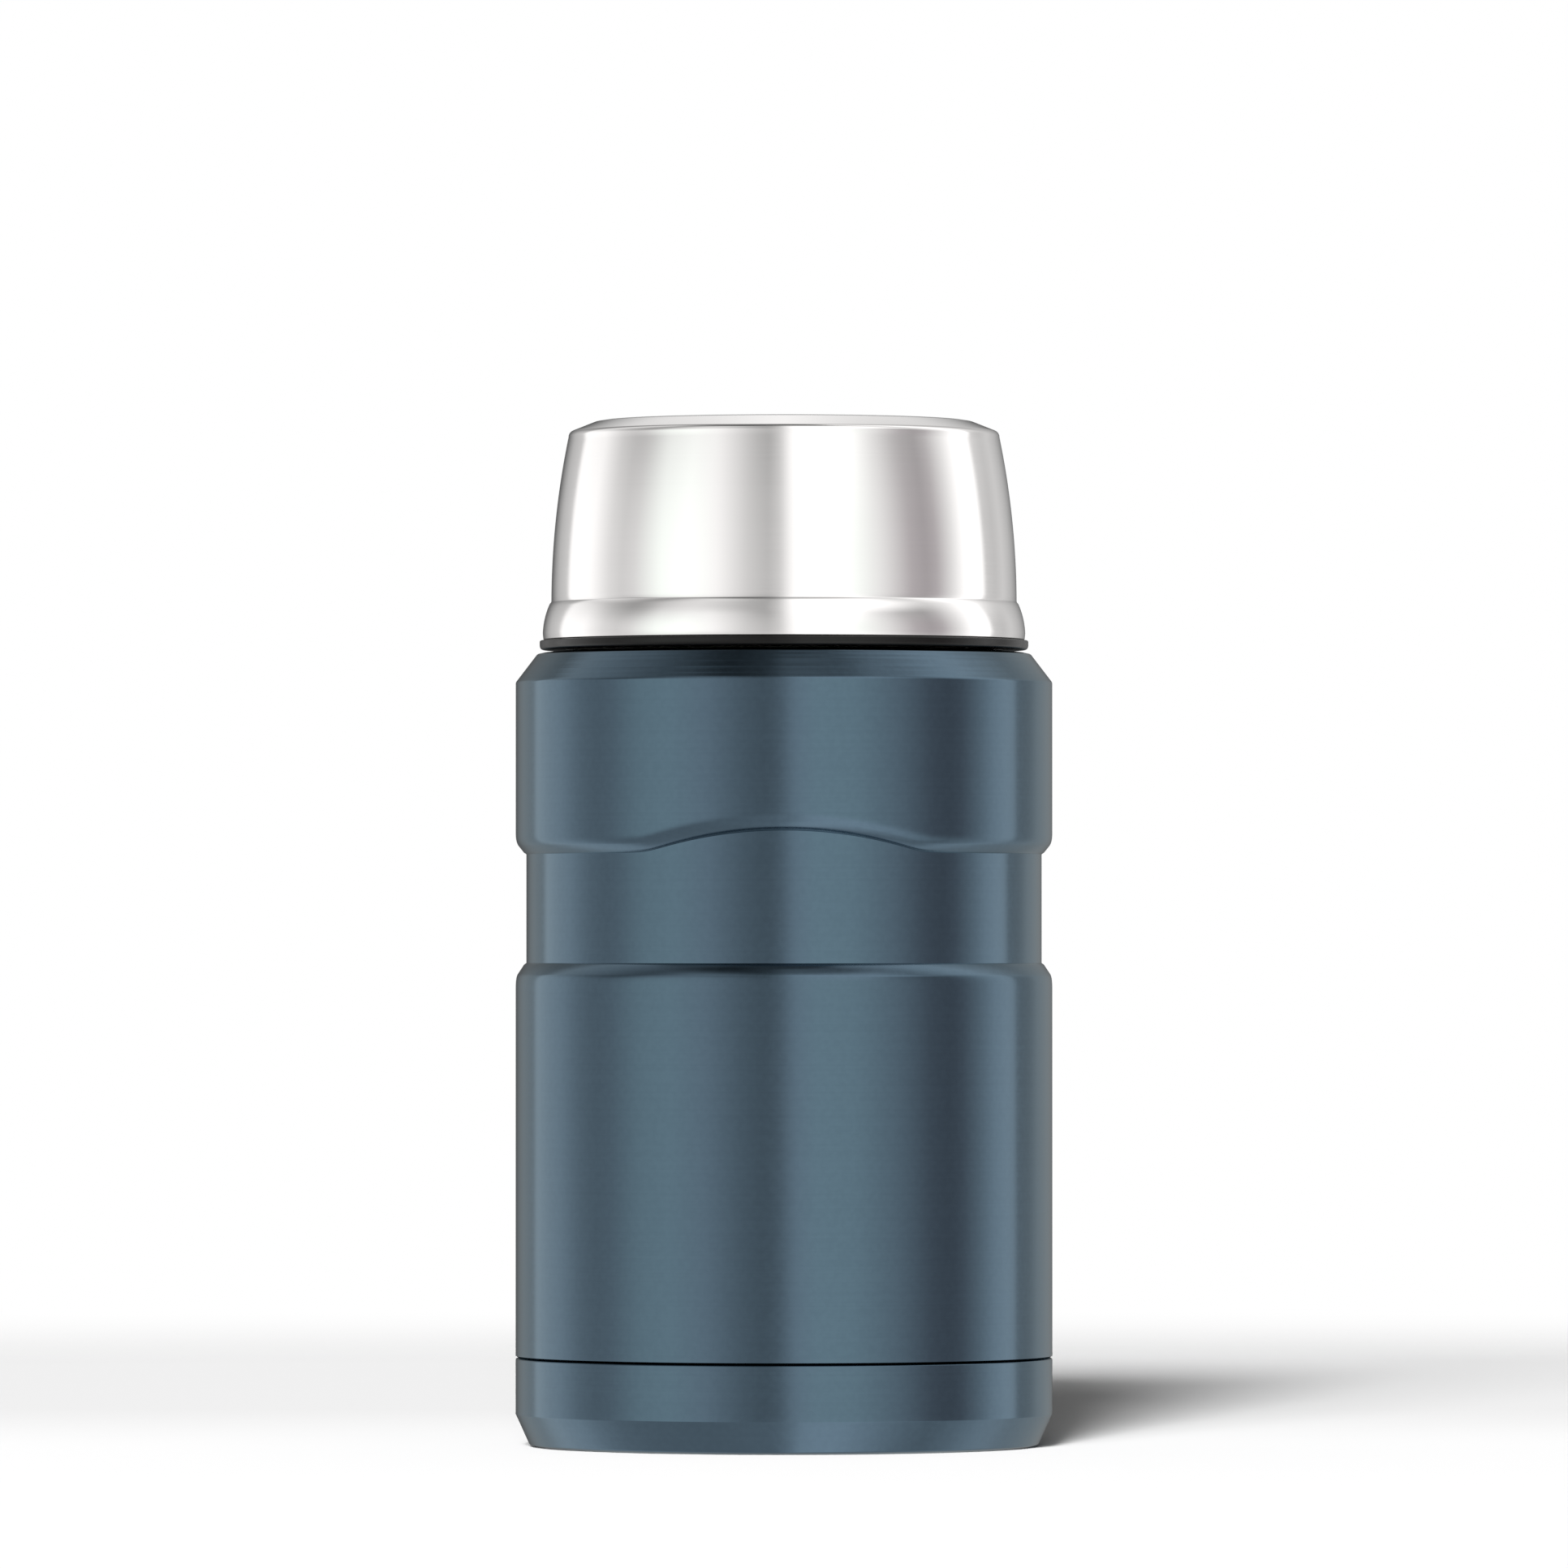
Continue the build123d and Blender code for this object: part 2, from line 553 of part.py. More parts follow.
# ---- One STEP file for each piece ----
PIECES = {
    "outer_shell": outer_shell,
    "base_cup": base_cup,
    "inner_vessel": inner_vessel,
    "inner_bottom": inner_bottom,
    "foil_sleeve": foil_sleeve,
    "foil_disc": foil_disc,
    "vacuum_closure": vacuum_closure,
    "port_seal": port_seal,
    "getter_pellet": getter_pellet,
    "getter_clip": getter_clip,
    "stopper_gasket": stopper_gasket,
    "stopper_plug": stopper_plug,
    "stopper_foam": stopper_foam,
    "stopper_grip": stopper_grip,
    "ring_seal": ring_seal,
    "lid_collar": lid_collar,
    "bowl_outer": bowl_outer,
    "bowl_inner": bowl_inner,
}
for name, piece in PIECES.items():
    export_step(piece, f"parts/{name}.step")
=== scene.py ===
import math

import bpy
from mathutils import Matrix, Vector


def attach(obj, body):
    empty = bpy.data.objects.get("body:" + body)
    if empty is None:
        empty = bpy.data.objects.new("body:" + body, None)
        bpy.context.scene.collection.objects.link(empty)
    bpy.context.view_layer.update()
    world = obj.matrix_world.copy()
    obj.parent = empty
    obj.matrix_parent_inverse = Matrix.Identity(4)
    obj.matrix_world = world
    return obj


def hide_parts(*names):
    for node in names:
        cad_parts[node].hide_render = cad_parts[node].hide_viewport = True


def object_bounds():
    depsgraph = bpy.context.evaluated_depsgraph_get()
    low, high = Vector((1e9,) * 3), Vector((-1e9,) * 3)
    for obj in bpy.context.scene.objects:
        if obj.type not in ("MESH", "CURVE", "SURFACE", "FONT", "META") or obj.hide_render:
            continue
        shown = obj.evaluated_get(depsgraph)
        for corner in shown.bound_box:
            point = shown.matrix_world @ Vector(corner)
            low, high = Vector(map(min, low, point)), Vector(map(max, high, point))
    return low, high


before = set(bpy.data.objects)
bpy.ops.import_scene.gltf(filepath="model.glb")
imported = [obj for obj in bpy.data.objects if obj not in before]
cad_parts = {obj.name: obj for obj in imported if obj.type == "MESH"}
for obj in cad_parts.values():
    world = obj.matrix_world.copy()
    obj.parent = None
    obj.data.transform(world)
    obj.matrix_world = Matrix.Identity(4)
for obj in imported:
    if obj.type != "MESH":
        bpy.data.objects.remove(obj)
cad_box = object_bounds()

# ---- Shared sizes, in millimetres as in the part; meshes and materials turn them into metres ----
MM = 0.001
BODY_R = round(cad_box[1][0] / MM, 1)
LID_TOP_Z = round(cad_box[1][2] / MM, 1)
SHEET = 0.5
LAP_GAP = 0.1  # between lapped sheets
CREASE_Z = 143.7  # body wall turns into the shoulder
SHOULDER_Z = 149.3  # flat ledge at the foot of the neck
LEAD = 18.0  # rise of every thread in one turn
STARTS = 3
LONG_ARC = 110  # degrees, ridges of the jar
SHORT_ARC = 50  # degrees, ridges of stopper and collar
ENGAGE_ANGLE = 50  # degrees that the closed lid and stopper are turned in
OUTWARDS, INWARDS = 1, -1
UP, DOWN = 1, -1

# ---- Outlines: lists of (radius, height) points, drawn with the inside of the wall on the left ----
STRAIGHT = 0.02  # radians; a corner flatter than this stays as it is
BEND_SHARE = 0.48  # share of a side that one bend may take up
SAME_POINT = 1e-4


def quadratic(start, middle, end, t):
    """Point at t on the curve that leaves start towards middle and arrives at end."""
    a, b, c = (1 - t) ** 2, 2 * t * (1 - t), t * t
    return (a * start[0] + b * middle[0] + c * end[0], a * start[1] + b * middle[1] + c * end[1])


def bend(points, radius, steps=6):
    """Polyline with its inner corners rounded; a third number in a point is its own radius."""
    rounded = [points[0][:2]]
    for before, corner, after in zip(points, points[1:], points[2:]):
        own = corner[2] if len(corner) > 2 else radius
        x, y = corner[:2]
        back = (before[0] - x, before[1] - y)
        ahead = (after[0] - x, after[1] - y)
        back_len, ahead_len = math.hypot(*back), math.hypot(*ahead)
        cosine = (back[0] * ahead[0] + back[1] * ahead[1]) / (back_len * ahead_len)
        inside = math.acos(max(-1.0, min(1.0, cosine)))
        if own <= 0 or math.pi - inside < STRAIGHT:
            rounded.append((x, y))
            continue
        reach = min(own / math.tan(inside / 2), BEND_SHARE * back_len, BEND_SHARE * ahead_len)
        start = (x + back[0] / back_len * reach, y + back[1] / back_len * reach)
        end = (x + ahead[0] / ahead_len * reach, y + ahead[1] / ahead_len * reach)
        rounded += [quadratic(start, (x, y), end, i / steps) for i in range(steps + 1)]
    rounded.append(points[-1][:2])
    return rounded


def arc(start, middle, end, steps):
    """Points of the circle arc through three points."""
    (ax, ay), (bx, by), (cx, cy) = start, middle, end
    d = 2 * (ax * (by - cy) + bx * (cy - ay) + cx * (ay - by))
    a2, b2, c2 = ax * ax + ay * ay, bx * bx + by * by, cx * cx + cy * cy
    ox = (a2 * (by - cy) + b2 * (cy - ay) + c2 * (ay - by)) / d
    oy = (a2 * (cx - bx) + b2 * (ax - cx) + c2 * (bx - ax)) / d
    radius = math.hypot(ax - ox, ay - oy)
    first = math.atan2(ay - oy, ax - ox)
    sweep = math.atan2(cy - oy, cx - ox) - first
    sweep = (sweep + math.pi) % (2 * math.pi) - math.pi
    angles = [first + sweep * i / steps for i in range(steps + 1)]
    return [(ox + radius * math.cos(t), oy + radius * math.sin(t)) for t in angles]


def chain(*lines):
    """Several outlines drawn end to end, without the points that repeat."""
    points = []
    for line in lines:
        for point in line:
            if not points or math.dist(points[-1], point) > SAME_POINT:
                points.append(point)
    return points


def wall(line, thickness=SHEET):
    """Closed section of a sheet whose outside is the given outline."""
    inner = []
    for i, (r, z) in enumerate(line):
        r0, z0 = line[max(i - 1, 0)]
        r1, z1 = line[min(i + 1, len(line) - 1)]
        length = math.hypot(r1 - r0, z1 - z0)
        inner_r = max(0.0, r - thickness * (z1 - z0) / length) if r > 0 else 0.0
        inner.append((inner_r, z + thickness * (r1 - r0) / length))
    return line + inner[::-1]


# ---- Shells: (vertices, faces) of closed surfaces, joined into one mesh for a piece ----
SEGMENTS = 288
BODY_SEGMENTS = 384
GRIP_SEGMENTS = 480
ON_AXIS = 1e-6
SHARP_ANGLE = math.radians(32)

RIDGE_H = 1.1
RIDGE_ROOT = 2.2
RIDGE_CREST = 1.2
RIDGE_ROUND = 0.15
RIDGE_SINK = 0.25  # how far a ridge reaches into its wall
RIDGE_STEP = 1.25  # degrees
RIDGE_TAPER = 5.0  # degrees at each end
RIDGE_END = 0.12  # share of the height that is left at the ends
RIDGE_UPPER_HALF = (
    (RIDGE_H, 0.5 * RIDGE_CREST - RIDGE_ROUND),
    (0.8 * RIDGE_H, 0.34 * RIDGE_ROOT),
    (0.35 * RIDGE_H, 0.42 * RIDGE_ROOT),
    (-RIDGE_SINK, 0.5 * RIDGE_ROOT),
)


def turned(section, segments=SEGMENTS):
    """Closed section turned round the axis; it may be a function of the angle from the front."""
    section_at = section if callable(section) else lambda angle: section
    angles = [2 * math.pi * j / segments for j in range(segments)]
    columns = [section_at(angle) for angle in angles]
    count = len(columns[0])
    vertices, index = [], {}
    for j, (angle, column) in enumerate(zip(angles, columns)):
        for i, (r, z) in enumerate(column):
            if r < ON_AXIS and j > 0:
                index[i, j] = index[i, 0]
                continue
            index[i, j] = len(vertices)
            vertices.append((r * math.sin(angle), -r * math.cos(angle), z))
    faces = []
    for j in range(segments):
        k = (j + 1) % segments
        for i in range(count):
            n = (i + 1) % count
            corners = [index[i, j], index[i, k], index[n, k], index[n, j]]
            corners = [c for p, c in enumerate(corners) if c != corners[p - 1]]
            if len(corners) > 2:
                faces.append(corners)
    return vertices, faces


def ridge(radius, side, low_z, first_angle, length):
    """One thread ridge, tapered at both ends; angles in degrees from +X."""
    steps = int(length / RIDGE_STEP)
    profile = [(out, -up) for out, up in RIDGE_UPPER_HALF[::-1]] + list(RIDGE_UPPER_HALF)
    vertices, faces = [], []
    for i in range(steps + 1):
        turn = length * i / steps
        angle = math.radians(first_angle + turn)
        fade = min(1.0, turn / RIDGE_TAPER, (length - turn) / RIDGE_TAPER)
        fade = RIDGE_END + (1 - RIDGE_END) * math.sqrt(fade)
        z = low_z + LEAD * turn / 360
        for out, up in profile:
            r = radius + side * (out * fade if out > 0 else out)
            vertices.append((r * math.cos(angle), r * math.sin(angle), z + up))
    n = len(profile)
    for i in range(steps):
        for k in range(n):
            m = (k + 1) % n
            faces.append([i * n + k, (i + 1) * n + k, (i + 1) * n + m, i * n + m])
    faces.append(list(range(n)))
    faces.append(list(range(steps * n, (steps + 1) * n))[::-1])
    return vertices, faces if side == OUTWARDS else [face[::-1] for face in faces]


def thread(radius, side, low_z, first_angle, length):
    """Every start of a thread."""
    return [ridge(radius, side, low_z, first_angle + i * 360 / STARTS, length) for i in range(STARTS)]


def piece(name, shells, material, body, node):
    """Makes one object from its shells and hangs it on the frame in place of a CAD node."""
    vertices, faces = [], []
    for shell_vertices, shell_faces in shells:
        base = len(vertices)
        vertices += [(x * MM, y * MM, z * MM) for x, y, z in shell_vertices]
        faces += [[base + corner for corner in face] for face in shell_faces]
    mesh = bpy.data.meshes.new(name)
    mesh.from_pydata(vertices, [], faces)
    mesh.validate()
    mesh.shade_smooth()
    mesh.set_sharp_from_angle(angle=SHARP_ANGLE)
    mesh.materials.append(material)
    obj = bpy.data.objects.new(name, mesh)
    bpy.context.scene.collection.objects.link(obj)
    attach(obj, body)
    if node:
        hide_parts(node)
    return obj


# ---- Node trees ----
class Tree:
    """Short calls for building a node tree, which starts empty."""

    def __init__(self, tree):
        self.tree = tree
        self.tree.nodes.clear()

    def add(self, kind, **settings):
        node = self.tree.nodes.new(kind)
        for key, value in settings.items():
            setattr(node, key, value)
        return node

    def link(self, output, socket):
        self.tree.links.new(output, socket)

    def feed(self, socket, value):
        """Gives a socket its link or its plain value."""
        if isinstance(value, bpy.types.NodeSocket):
            self.link(value, socket)
        else:
            socket.default_value = value

    def compute(self, operation, a, b=0.0):
        node = self.add("ShaderNodeMath", operation=operation)
        self.feed(node.inputs[0], a)
        self.feed(node.inputs[1], b)
        return node.outputs[0]

    def weighed(self, a, share, b):
        """Mean of two values, with the share that the first one has."""
        return self.compute("ADD", self.compute("MULTIPLY", a, share), self.compute("MULTIPLY", b, 1 - share))

    def spread(self, value, low, high, to_low=0.0, to_high=1.0):
        """Maps a value smoothly from one range to another, and holds it at the ends."""
        node = self.add("ShaderNodeMapRange", interpolation_type="SMOOTHSTEP")
        limits = {"From Min": low, "From Max": high, "To Min": to_low, "To Max": to_high}
        for key, source in {"Value": value, **limits}.items():
            self.feed(node.inputs[key], source)
        return node.outputs["Result"]

    def mix(self, factor, a, b):
        """Colour between two by a factor."""
        node = self.add("ShaderNodeMix", data_type="RGBA")
        for key, source in {"Factor": factor, "A": a, "B": b}.items():
            self.feed(node.inputs[key], source)
        return node.outputs["Result"]

    def mix_shaders(self, factor, a, b):
        node = self.add("ShaderNodeMixShader")
        for socket, source in zip(node.inputs, (factor, a, b)):
            self.link(source, socket)
        return node.outputs[0]

    def place(self):
        """Object coordinates in metres, as one vector and as (x, y, z) sockets."""
        coordinates = self.add("ShaderNodeTexCoord").outputs["Object"]
        split = self.add("ShaderNodeSeparateXYZ")
        self.link(coordinates, split.inputs[0])
        return coordinates, split.outputs

    def noise(self, scale, detail=3.0, vector=None):
        """Even noise with scale features in one unit of the vector, which is metres by itself."""
        node = self.add("ShaderNodeTexNoise")
        self.link(self.place()[0] if vector is None else vector, node.inputs["Vector"])
        node.inputs["Scale"].default_value = scale
        node.inputs["Detail"].default_value = detail
        return node.outputs["Fac"]


RADIUS_SHARE = 0.8  # how much a mark's place depends on the radius, so that flat faces get rings
COARSE_STRENGTH = 5.0  # of coarse marks, where fine ones have 1


class Surface(Tree):
    """A material's tree round one Principled shader."""

    def __init__(self, name):
        self.material = bpy.data.materials.new(name)
        self.material.use_nodes = True
        super().__init__(self.material.node_tree)
        self.shader = self.add("ShaderNodeBsdfPrincipled")
        output = self.add("ShaderNodeOutputMaterial")
        self.link(self.shader.outputs["BSDF"], output.inputs["Surface"])

    def set(self, **values):
        """Constant values, straight on the shader's own sockets."""
        for key, value in values.items():
            self.shader.inputs[key.replace("_", " ")].default_value = value

    def colour(self, factor, dark, light):
        self.link(self.mix(factor, (*dark, 1), (*light, 1)), self.shader.inputs["Base Color"])

    def roughness(self, value):
        self.link(value, self.shader.inputs["Roughness"])

    def bump(self, height, strength, depth):
        """Bump of a height between 0 and 1, depth millimetres deep at full strength."""
        node = self.add("ShaderNodeBump")
        node.inputs["Strength"].default_value = strength
        node.inputs["Distance"].default_value = depth * MM
        self.link(height, node.inputs["Height"])
        self.link(node.outputs["Normal"], self.shader.inputs["Normal"])

    def streaks(self, along, across):
        """Noise drawn out round the axis: along and across are its frequencies per metre."""
        _, (x, y, z) = self.place()
        squares = [self.compute("MULTIPLY", part, part) for part in (x, y)]
        radius = self.compute("SQRT", self.compute("ADD", *squares))
        height = self.compute("SUBTRACT", z, self.compute("MULTIPLY", radius, RADIUS_SHARE))
        joined = self.add("ShaderNodeCombineXYZ")
        for socket, part, frequency in zip(joined.inputs, (x, y, height), (along, along, across)):
            self.link(self.compute("MULTIPLY", part, frequency), socket)
        return self.noise(1.0, vector=joined.outputs[0])

    def rise(self, heights, to_low, to_high):
        """Value that changes between two heights of the jar, given in millimetres."""
        low_z, high_z = heights
        return self.spread(self.place()[1][2], low_z * MM, high_z * MM, to_low, to_high)

    def marks_above(self, heights, fine, share, coarse):
        """Fine marks that only have their share of strength low down, with coarse ones added high up."""
        faded = self.compute("MULTIPLY", fine, self.rise(heights, share, 1.0))
        added = self.compute("MULTIPLY", coarse, self.rise(heights, 0.0, COARSE_STRENGTH))
        return self.compute("ADD", faded, added)


# ---- Materials: colours and roughness go from one value to another, and noise is in features per metre ----
CLOSE_CONTRAST = (0.35, 0.65)  # part of a noise that is spread over a whole range of colour or roughness
WIDE_CONTRAST = (0.3, 0.7)
STEEL_MARKS = (6.0, 2600.0)  # frequencies round the axis and across the marks
FOIL_MARKS = (60.0, 300.0)
PAINT_MARKS = (5.0, 2200.0)
SHOULDER_MARKS = (4.0, 700.0)
FINE_SHARE = 0.6  # of steel's fine marks, next to broad ones
BROAD_ALONG, BROAD_ACROSS = 2, 14  # how many times broader those are than the fine ones
COARSE_ACROSS = 2  # how many times coarser the rings of satin steel are
PAINT_GRAIN, PAINT_MARKS_SHARE = 900.0, 0.4
MOULD_CLOUD, SOFT_CLOUD = 12, 15  # how many times broader than the grain the changes of colour are
SHOULDER_MARKS_Z = (CREASE_Z - 0.6, CREASE_Z + 0.6)  # the shoulder's marks begin between these heights
LID_MARKS_Z = (LID_TOP_Z - 0.3, LID_TOP_Z - 0.1)  # the rings on the lid's top begin between these
LACQUERED_SHARE, POLISHED_SHARE = 0.03, 0.017  # strength of the fine marks below those heights
SATIN_ROUGHNESS = 0.12  # added where polished steel turns to satin
MARK_DEPTH, MOULD_DEPTH, DUST_DEPTH = 0.02, 0.03, 0.06
PAINT_DARK = (0.080, 0.127, 0.171)
PAINT_LIGHT = (0.086, 0.136, 0.182)
PAINT_EDGE = (0.90, 0.98, 1.0, 1)
PAINT_ROUGHNESS = (0.12, 0.16)
PAINT_STRENGTH = 0.45


def turned_metal(name, dark, light, roughness, strength, marks=STEEL_MARKS, satin_z=None):
    """Steel or foil with fine marks round the axis; polished under the heights satin_z, where it has them."""
    n = Surface(name)
    along, across = marks
    relief = n.streaks(along, across)
    both = n.weighed(relief, FINE_SHARE, n.streaks(along / BROAD_ALONG, across / BROAD_ACROSS))
    gloss = n.spread(both, *WIDE_CONTRAST, *roughness)
    if satin_z:
        gloss = n.compute("ADD", gloss, n.rise(satin_z, 0.0, SATIN_ROUGHNESS))
        coarse = n.streaks(along, across / COARSE_ACROSS)
        relief = n.marks_above(satin_z, relief, POLISHED_SHARE, coarse)
    n.set(Metallic=1.0)
    n.colour(n.spread(both, *WIDE_CONTRAST), dark, light)
    n.roughness(gloss)
    n.bump(relief, strength, MARK_DEPTH)
    return n.material


def metallic_paint(name):
    """Tinted lacquer over turned steel: fine marks round the axis show under a thin clear coat."""
    n = Surface(name)
    marks = n.streaks(*PAINT_MARKS)
    both = n.weighed(marks, PAINT_MARKS_SHARE, n.noise(PAINT_GRAIN))
    n.set(Metallic=1.0, Specular_Tint=PAINT_EDGE, Coat_Weight=0.22, Coat_Roughness=0.08)
    n.colour(n.spread(both, *CLOSE_CONTRAST), PAINT_DARK, PAINT_LIGHT)
    n.roughness(n.spread(both, *WIDE_CONTRAST, *PAINT_ROUGHNESS))
    relief = n.marks_above(SHOULDER_MARKS_Z, marks, LACQUERED_SHARE, n.streaks(*SHOULDER_MARKS))
    n.bump(relief, PAINT_STRENGTH, MARK_DEPTH)
    return n.material


def plastic(name, dark, light, roughness, strength=0.12, gloss=0.5, grain=420.0):
    """Moulded plastic with a faint texture and uneven gloss."""
    n = Surface(name)
    fine = n.noise(grain)
    n.set(Specular_IOR_Level=gloss)
    n.colour(n.spread(n.noise(grain / MOULD_CLOUD), *CLOSE_CONTRAST), dark, light)
    n.roughness(n.spread(fine, *WIDE_CONTRAST, *roughness))
    n.bump(fine, strength, MOULD_DEPTH)
    return n.material


def soft(name, dark, light, roughness, strength, grain, sheen=0.0):
    """Silicone, foam or pressed powder: an even grain with dusty variation."""
    n = Surface(name)
    fine = n.noise(grain, 5.0)
    n.set(Sheen_Weight=sheen)
    n.colour(n.spread(n.noise(grain / SOFT_CLOUD), *CLOSE_CONTRAST), dark, light)
    n.roughness(n.spread(fine, *WIDE_CONTRAST, *roughness))
    n.bump(fine, strength, DUST_DEPTH)
    return n.material


def warm(level):
    """Steel's slightly warm grey."""
    return level, level - 0.01, level - 0.02


def even(level):
    """Grey without a tint."""
    return level, level, level


shell_paint, base_paint = [metallic_paint(name) for name in ("shell_paint", "base_paint")]

LID_DARK, LID_LIGHT = (0.950, 0.930, 0.920), (0.960, 0.940, 0.930)
lid_steel = turned_metal("lid_steel", LID_DARK, LID_LIGHT, (0.09, 0.13), 0.9, satin_z=LID_MARKS_Z)
bowl_steel = turned_metal("bowl_steel", warm(0.70), warm(0.80), (0.20, 0.30), 0.2)
neck_steel = turned_metal("neck_steel", warm(0.66), warm(0.76), (0.20, 0.32), 0.2)
vessel_steel = turned_metal("vessel_steel", warm(0.66), warm(0.76), (0.22, 0.34), 0.25)
bottom_steel = turned_metal("bottom_steel", warm(0.64), warm(0.74), (0.24, 0.36), 0.25)
closure_steel = turned_metal("closure_steel", warm(0.50), warm(0.62), (0.30, 0.42), 0.3)
clip_steel = turned_metal("clip_steel", warm(0.52), warm(0.62), (0.28, 0.40), 0.3)
foil, foil_under = [turned_metal(name, even(0.78), even(0.88), (0.12, 0.24), 0.6, FOIL_MARKS)
                    for name in ("foil", "foil_under")]
seal_metal = turned_metal("seal_metal", (0.48, 0.45, 0.38), (0.60, 0.57, 0.50), (0.28, 0.45), 0.4)

COLLAR_DARK, COLLAR_LIGHT = (0.0035, 0.003, 0.003), (0.006, 0.0055, 0.005)
BLACK_DARK, BLACK_LIGHT = (0.020, 0.019, 0.018), (0.030, 0.029, 0.027)
collar_plastic = plastic("collar_plastic", COLLAR_DARK, COLLAR_LIGHT, (0.16, 0.24), 0.04, 0.27)
plug_plastic, grip_plastic = [plastic(name, BLACK_DARK, BLACK_LIGHT, (0.34, 0.48))
                              for name in ("plug_plastic", "grip_plastic")]

SILICONE_DARK, SILICONE_LIGHT = (0.50, 0.50, 0.48), (0.60, 0.60, 0.58)
gasket_silicone, ring_silicone = [soft(name, SILICONE_DARK, SILICONE_LIGHT, (0.42, 0.58), 0.2, 500.0)
                                  for name in ("gasket_silicone", "ring_silicone")]
foam = soft("foam", (0.66, 0.60, 0.44), (0.76, 0.71, 0.55), (0.80, 0.95), 0.7, 1200.0, 0.2)
getter = soft("getter", (0.12, 0.12, 0.13), (0.22, 0.22, 0.23), (0.60, 0.85), 0.6, 1500.0)

# ---- Outer shell: painted body with its band, arch and shoulder, and the bare neck ----
BAND_DEPTH = 2.0
BAND_R = BODY_R - BAND_DEPTH
BAND_LOW_Z, BAND_HIGH_Z = 90.9, 111.35
BAND_ROWS = 4
# Points of a roll: how far out from the band's wall and how far from its crease, the last three a curve.
UPPER_ROLL = ((0.0, 0.0), (0.45, 0.3), (1.45, 1.55), (BAND_DEPTH, 2.25), (BAND_DEPTH, 3.9))
LOWER_ROLL = ((0.0, 0.0), (0.08, 0.055), (0.42, 0.28), (1.62, 2.1), (BAND_DEPTH, 2.67), (BAND_DEPTH, 4.8))
ROLL_STEPS = 16
ARCH_SLOPE = 0.577  # rise over run of the plane that the arch lies in
ARCH_REACH = 41.4  # the arch rises where the band's wall is further forward than this
ARCH_BLEND = 0.7
SEAM_LOW_Z, SEAM_HIGH_Z = 16.55, 17.05  # groove between base cup and shell
SEAM_ROUND = 0.15
JOGGLE_R = BODY_R - SHEET - LAP_GAP  # shell end inside the base cup
JOGGLE_END_Z = 9.5
WALL_ROWS_Z = (30.0, 60.0)  # rows that keep the shading of the plain wall even
WALL_TOP_ROW_Z = 124.0
SHOULDER_EDGE_R, SHOULDER_EDGE_Z = 46.45, 149.0
SHOULDER_R = 45.1
SHOULDER_BEND = 0.7
PAINT_END_R = 41.0
NECK_R, NECK_TOP_Z = 39.6, 163.5
NECK_RIDGE_Z = 151.9


def roll(section, crease_z, way):
    """Edge of the band, from its crease out to the body: a short ledge, a slope and a round end."""
    *ledge, slope, middle, end = section
    out = ledge + [quadratic(slope, middle, end, i / ROLL_STEPS) for i in range(ROLL_STEPS + 1)]
    return [(BAND_R + r, crease_z + way * z) for r, z in out]


def band_top(angle):
    """Height of the top edge of the band: level, and risen to an arch at the front."""
    rise = ARCH_SLOPE * (BAND_R * math.cos(angle) - ARCH_REACH)
    return BAND_HIGH_Z + 0.5 * (rise + math.sqrt(rise * rise + ARCH_BLEND ** 2))


def body_line(angle):
    """Outside of the painted shell at one angle from the front."""
    top = band_top(angle)
    joggle = [
        (JOGGLE_R, JOGGLE_END_Z), (JOGGLE_R, SEAM_LOW_Z - SEAM_ROUND),
        (JOGGLE_R + SEAM_ROUND, SEAM_LOW_Z + SEAM_ROUND), (BODY_R - 0.2, SEAM_HIGH_Z - 0.12),
        (BODY_R, SEAM_HIGH_Z),
    ]
    lower_wall = [(BODY_R, z) for z in WALL_ROWS_Z]
    lower_roll = roll(LOWER_ROLL, BAND_LOW_Z, DOWN)[::-1]
    band = [(BAND_R, BAND_LOW_Z + (top - BAND_LOW_Z) * i / BAND_ROWS) for i in range(1, BAND_ROWS)]
    upper_roll = roll(UPPER_ROLL, top, UP)
    shoulder = bend(
        [(BODY_R, WALL_TOP_ROW_Z), (BODY_R, CREASE_Z), (SHOULDER_EDGE_R, SHOULDER_EDGE_Z),
         (SHOULDER_R, SHOULDER_Z), (PAINT_END_R, SHOULDER_Z)], SHOULDER_BEND
    )
    return chain(joggle, lower_wall, lower_roll, band, upper_roll, shoulder)


neck_line = bend(
    [(PAINT_END_R, SHOULDER_Z), (NECK_R, SHOULDER_Z), (NECK_R, NECK_TOP_Z - SHEET)], SHOULDER_BEND
)
piece("body_shell", [turned(lambda angle: wall(body_line(angle)), BODY_SEGMENTS)], shell_paint, "jar",
      "outer_shell")
neck_thread = thread(NECK_R, OUTWARDS, NECK_RIDGE_Z, 0, LONG_ARC)
piece("neck", [turned(wall(neck_line))] + neck_thread, neck_steel, "jar", None)

# ---- Base cup ----
BOSS_R, BOSS_Z = 19.0, 1.6
BOSS_SLOPE_W = 1.0
RECESS_R, RECESS_Z = 41.0, 2.6
FOOT_INNER_R, FOOT_R = 43.4, 46.4
FOOT_ROUND_R, FOOT_ROUND_Z = 47.9, 0.4
CHAMFER_Z = 6.1
CUP_BEND = 0.5
base_line = bend(
    [(0, BOSS_Z), (BOSS_R, BOSS_Z), (BOSS_R + BOSS_SLOPE_W, RECESS_Z), (RECESS_R, RECESS_Z),
     (FOOT_INNER_R, 0), (FOOT_R, 0), (FOOT_ROUND_R, FOOT_ROUND_Z), (BODY_R, CHAMFER_Z),
     (BODY_R, SEAM_LOW_Z - SEAM_ROUND), (BODY_R - SEAM_ROUND, SEAM_LOW_Z)], CUP_BEND
)
piece("base", [turned(wall(base_line))], base_paint, "jar", "base_cup")

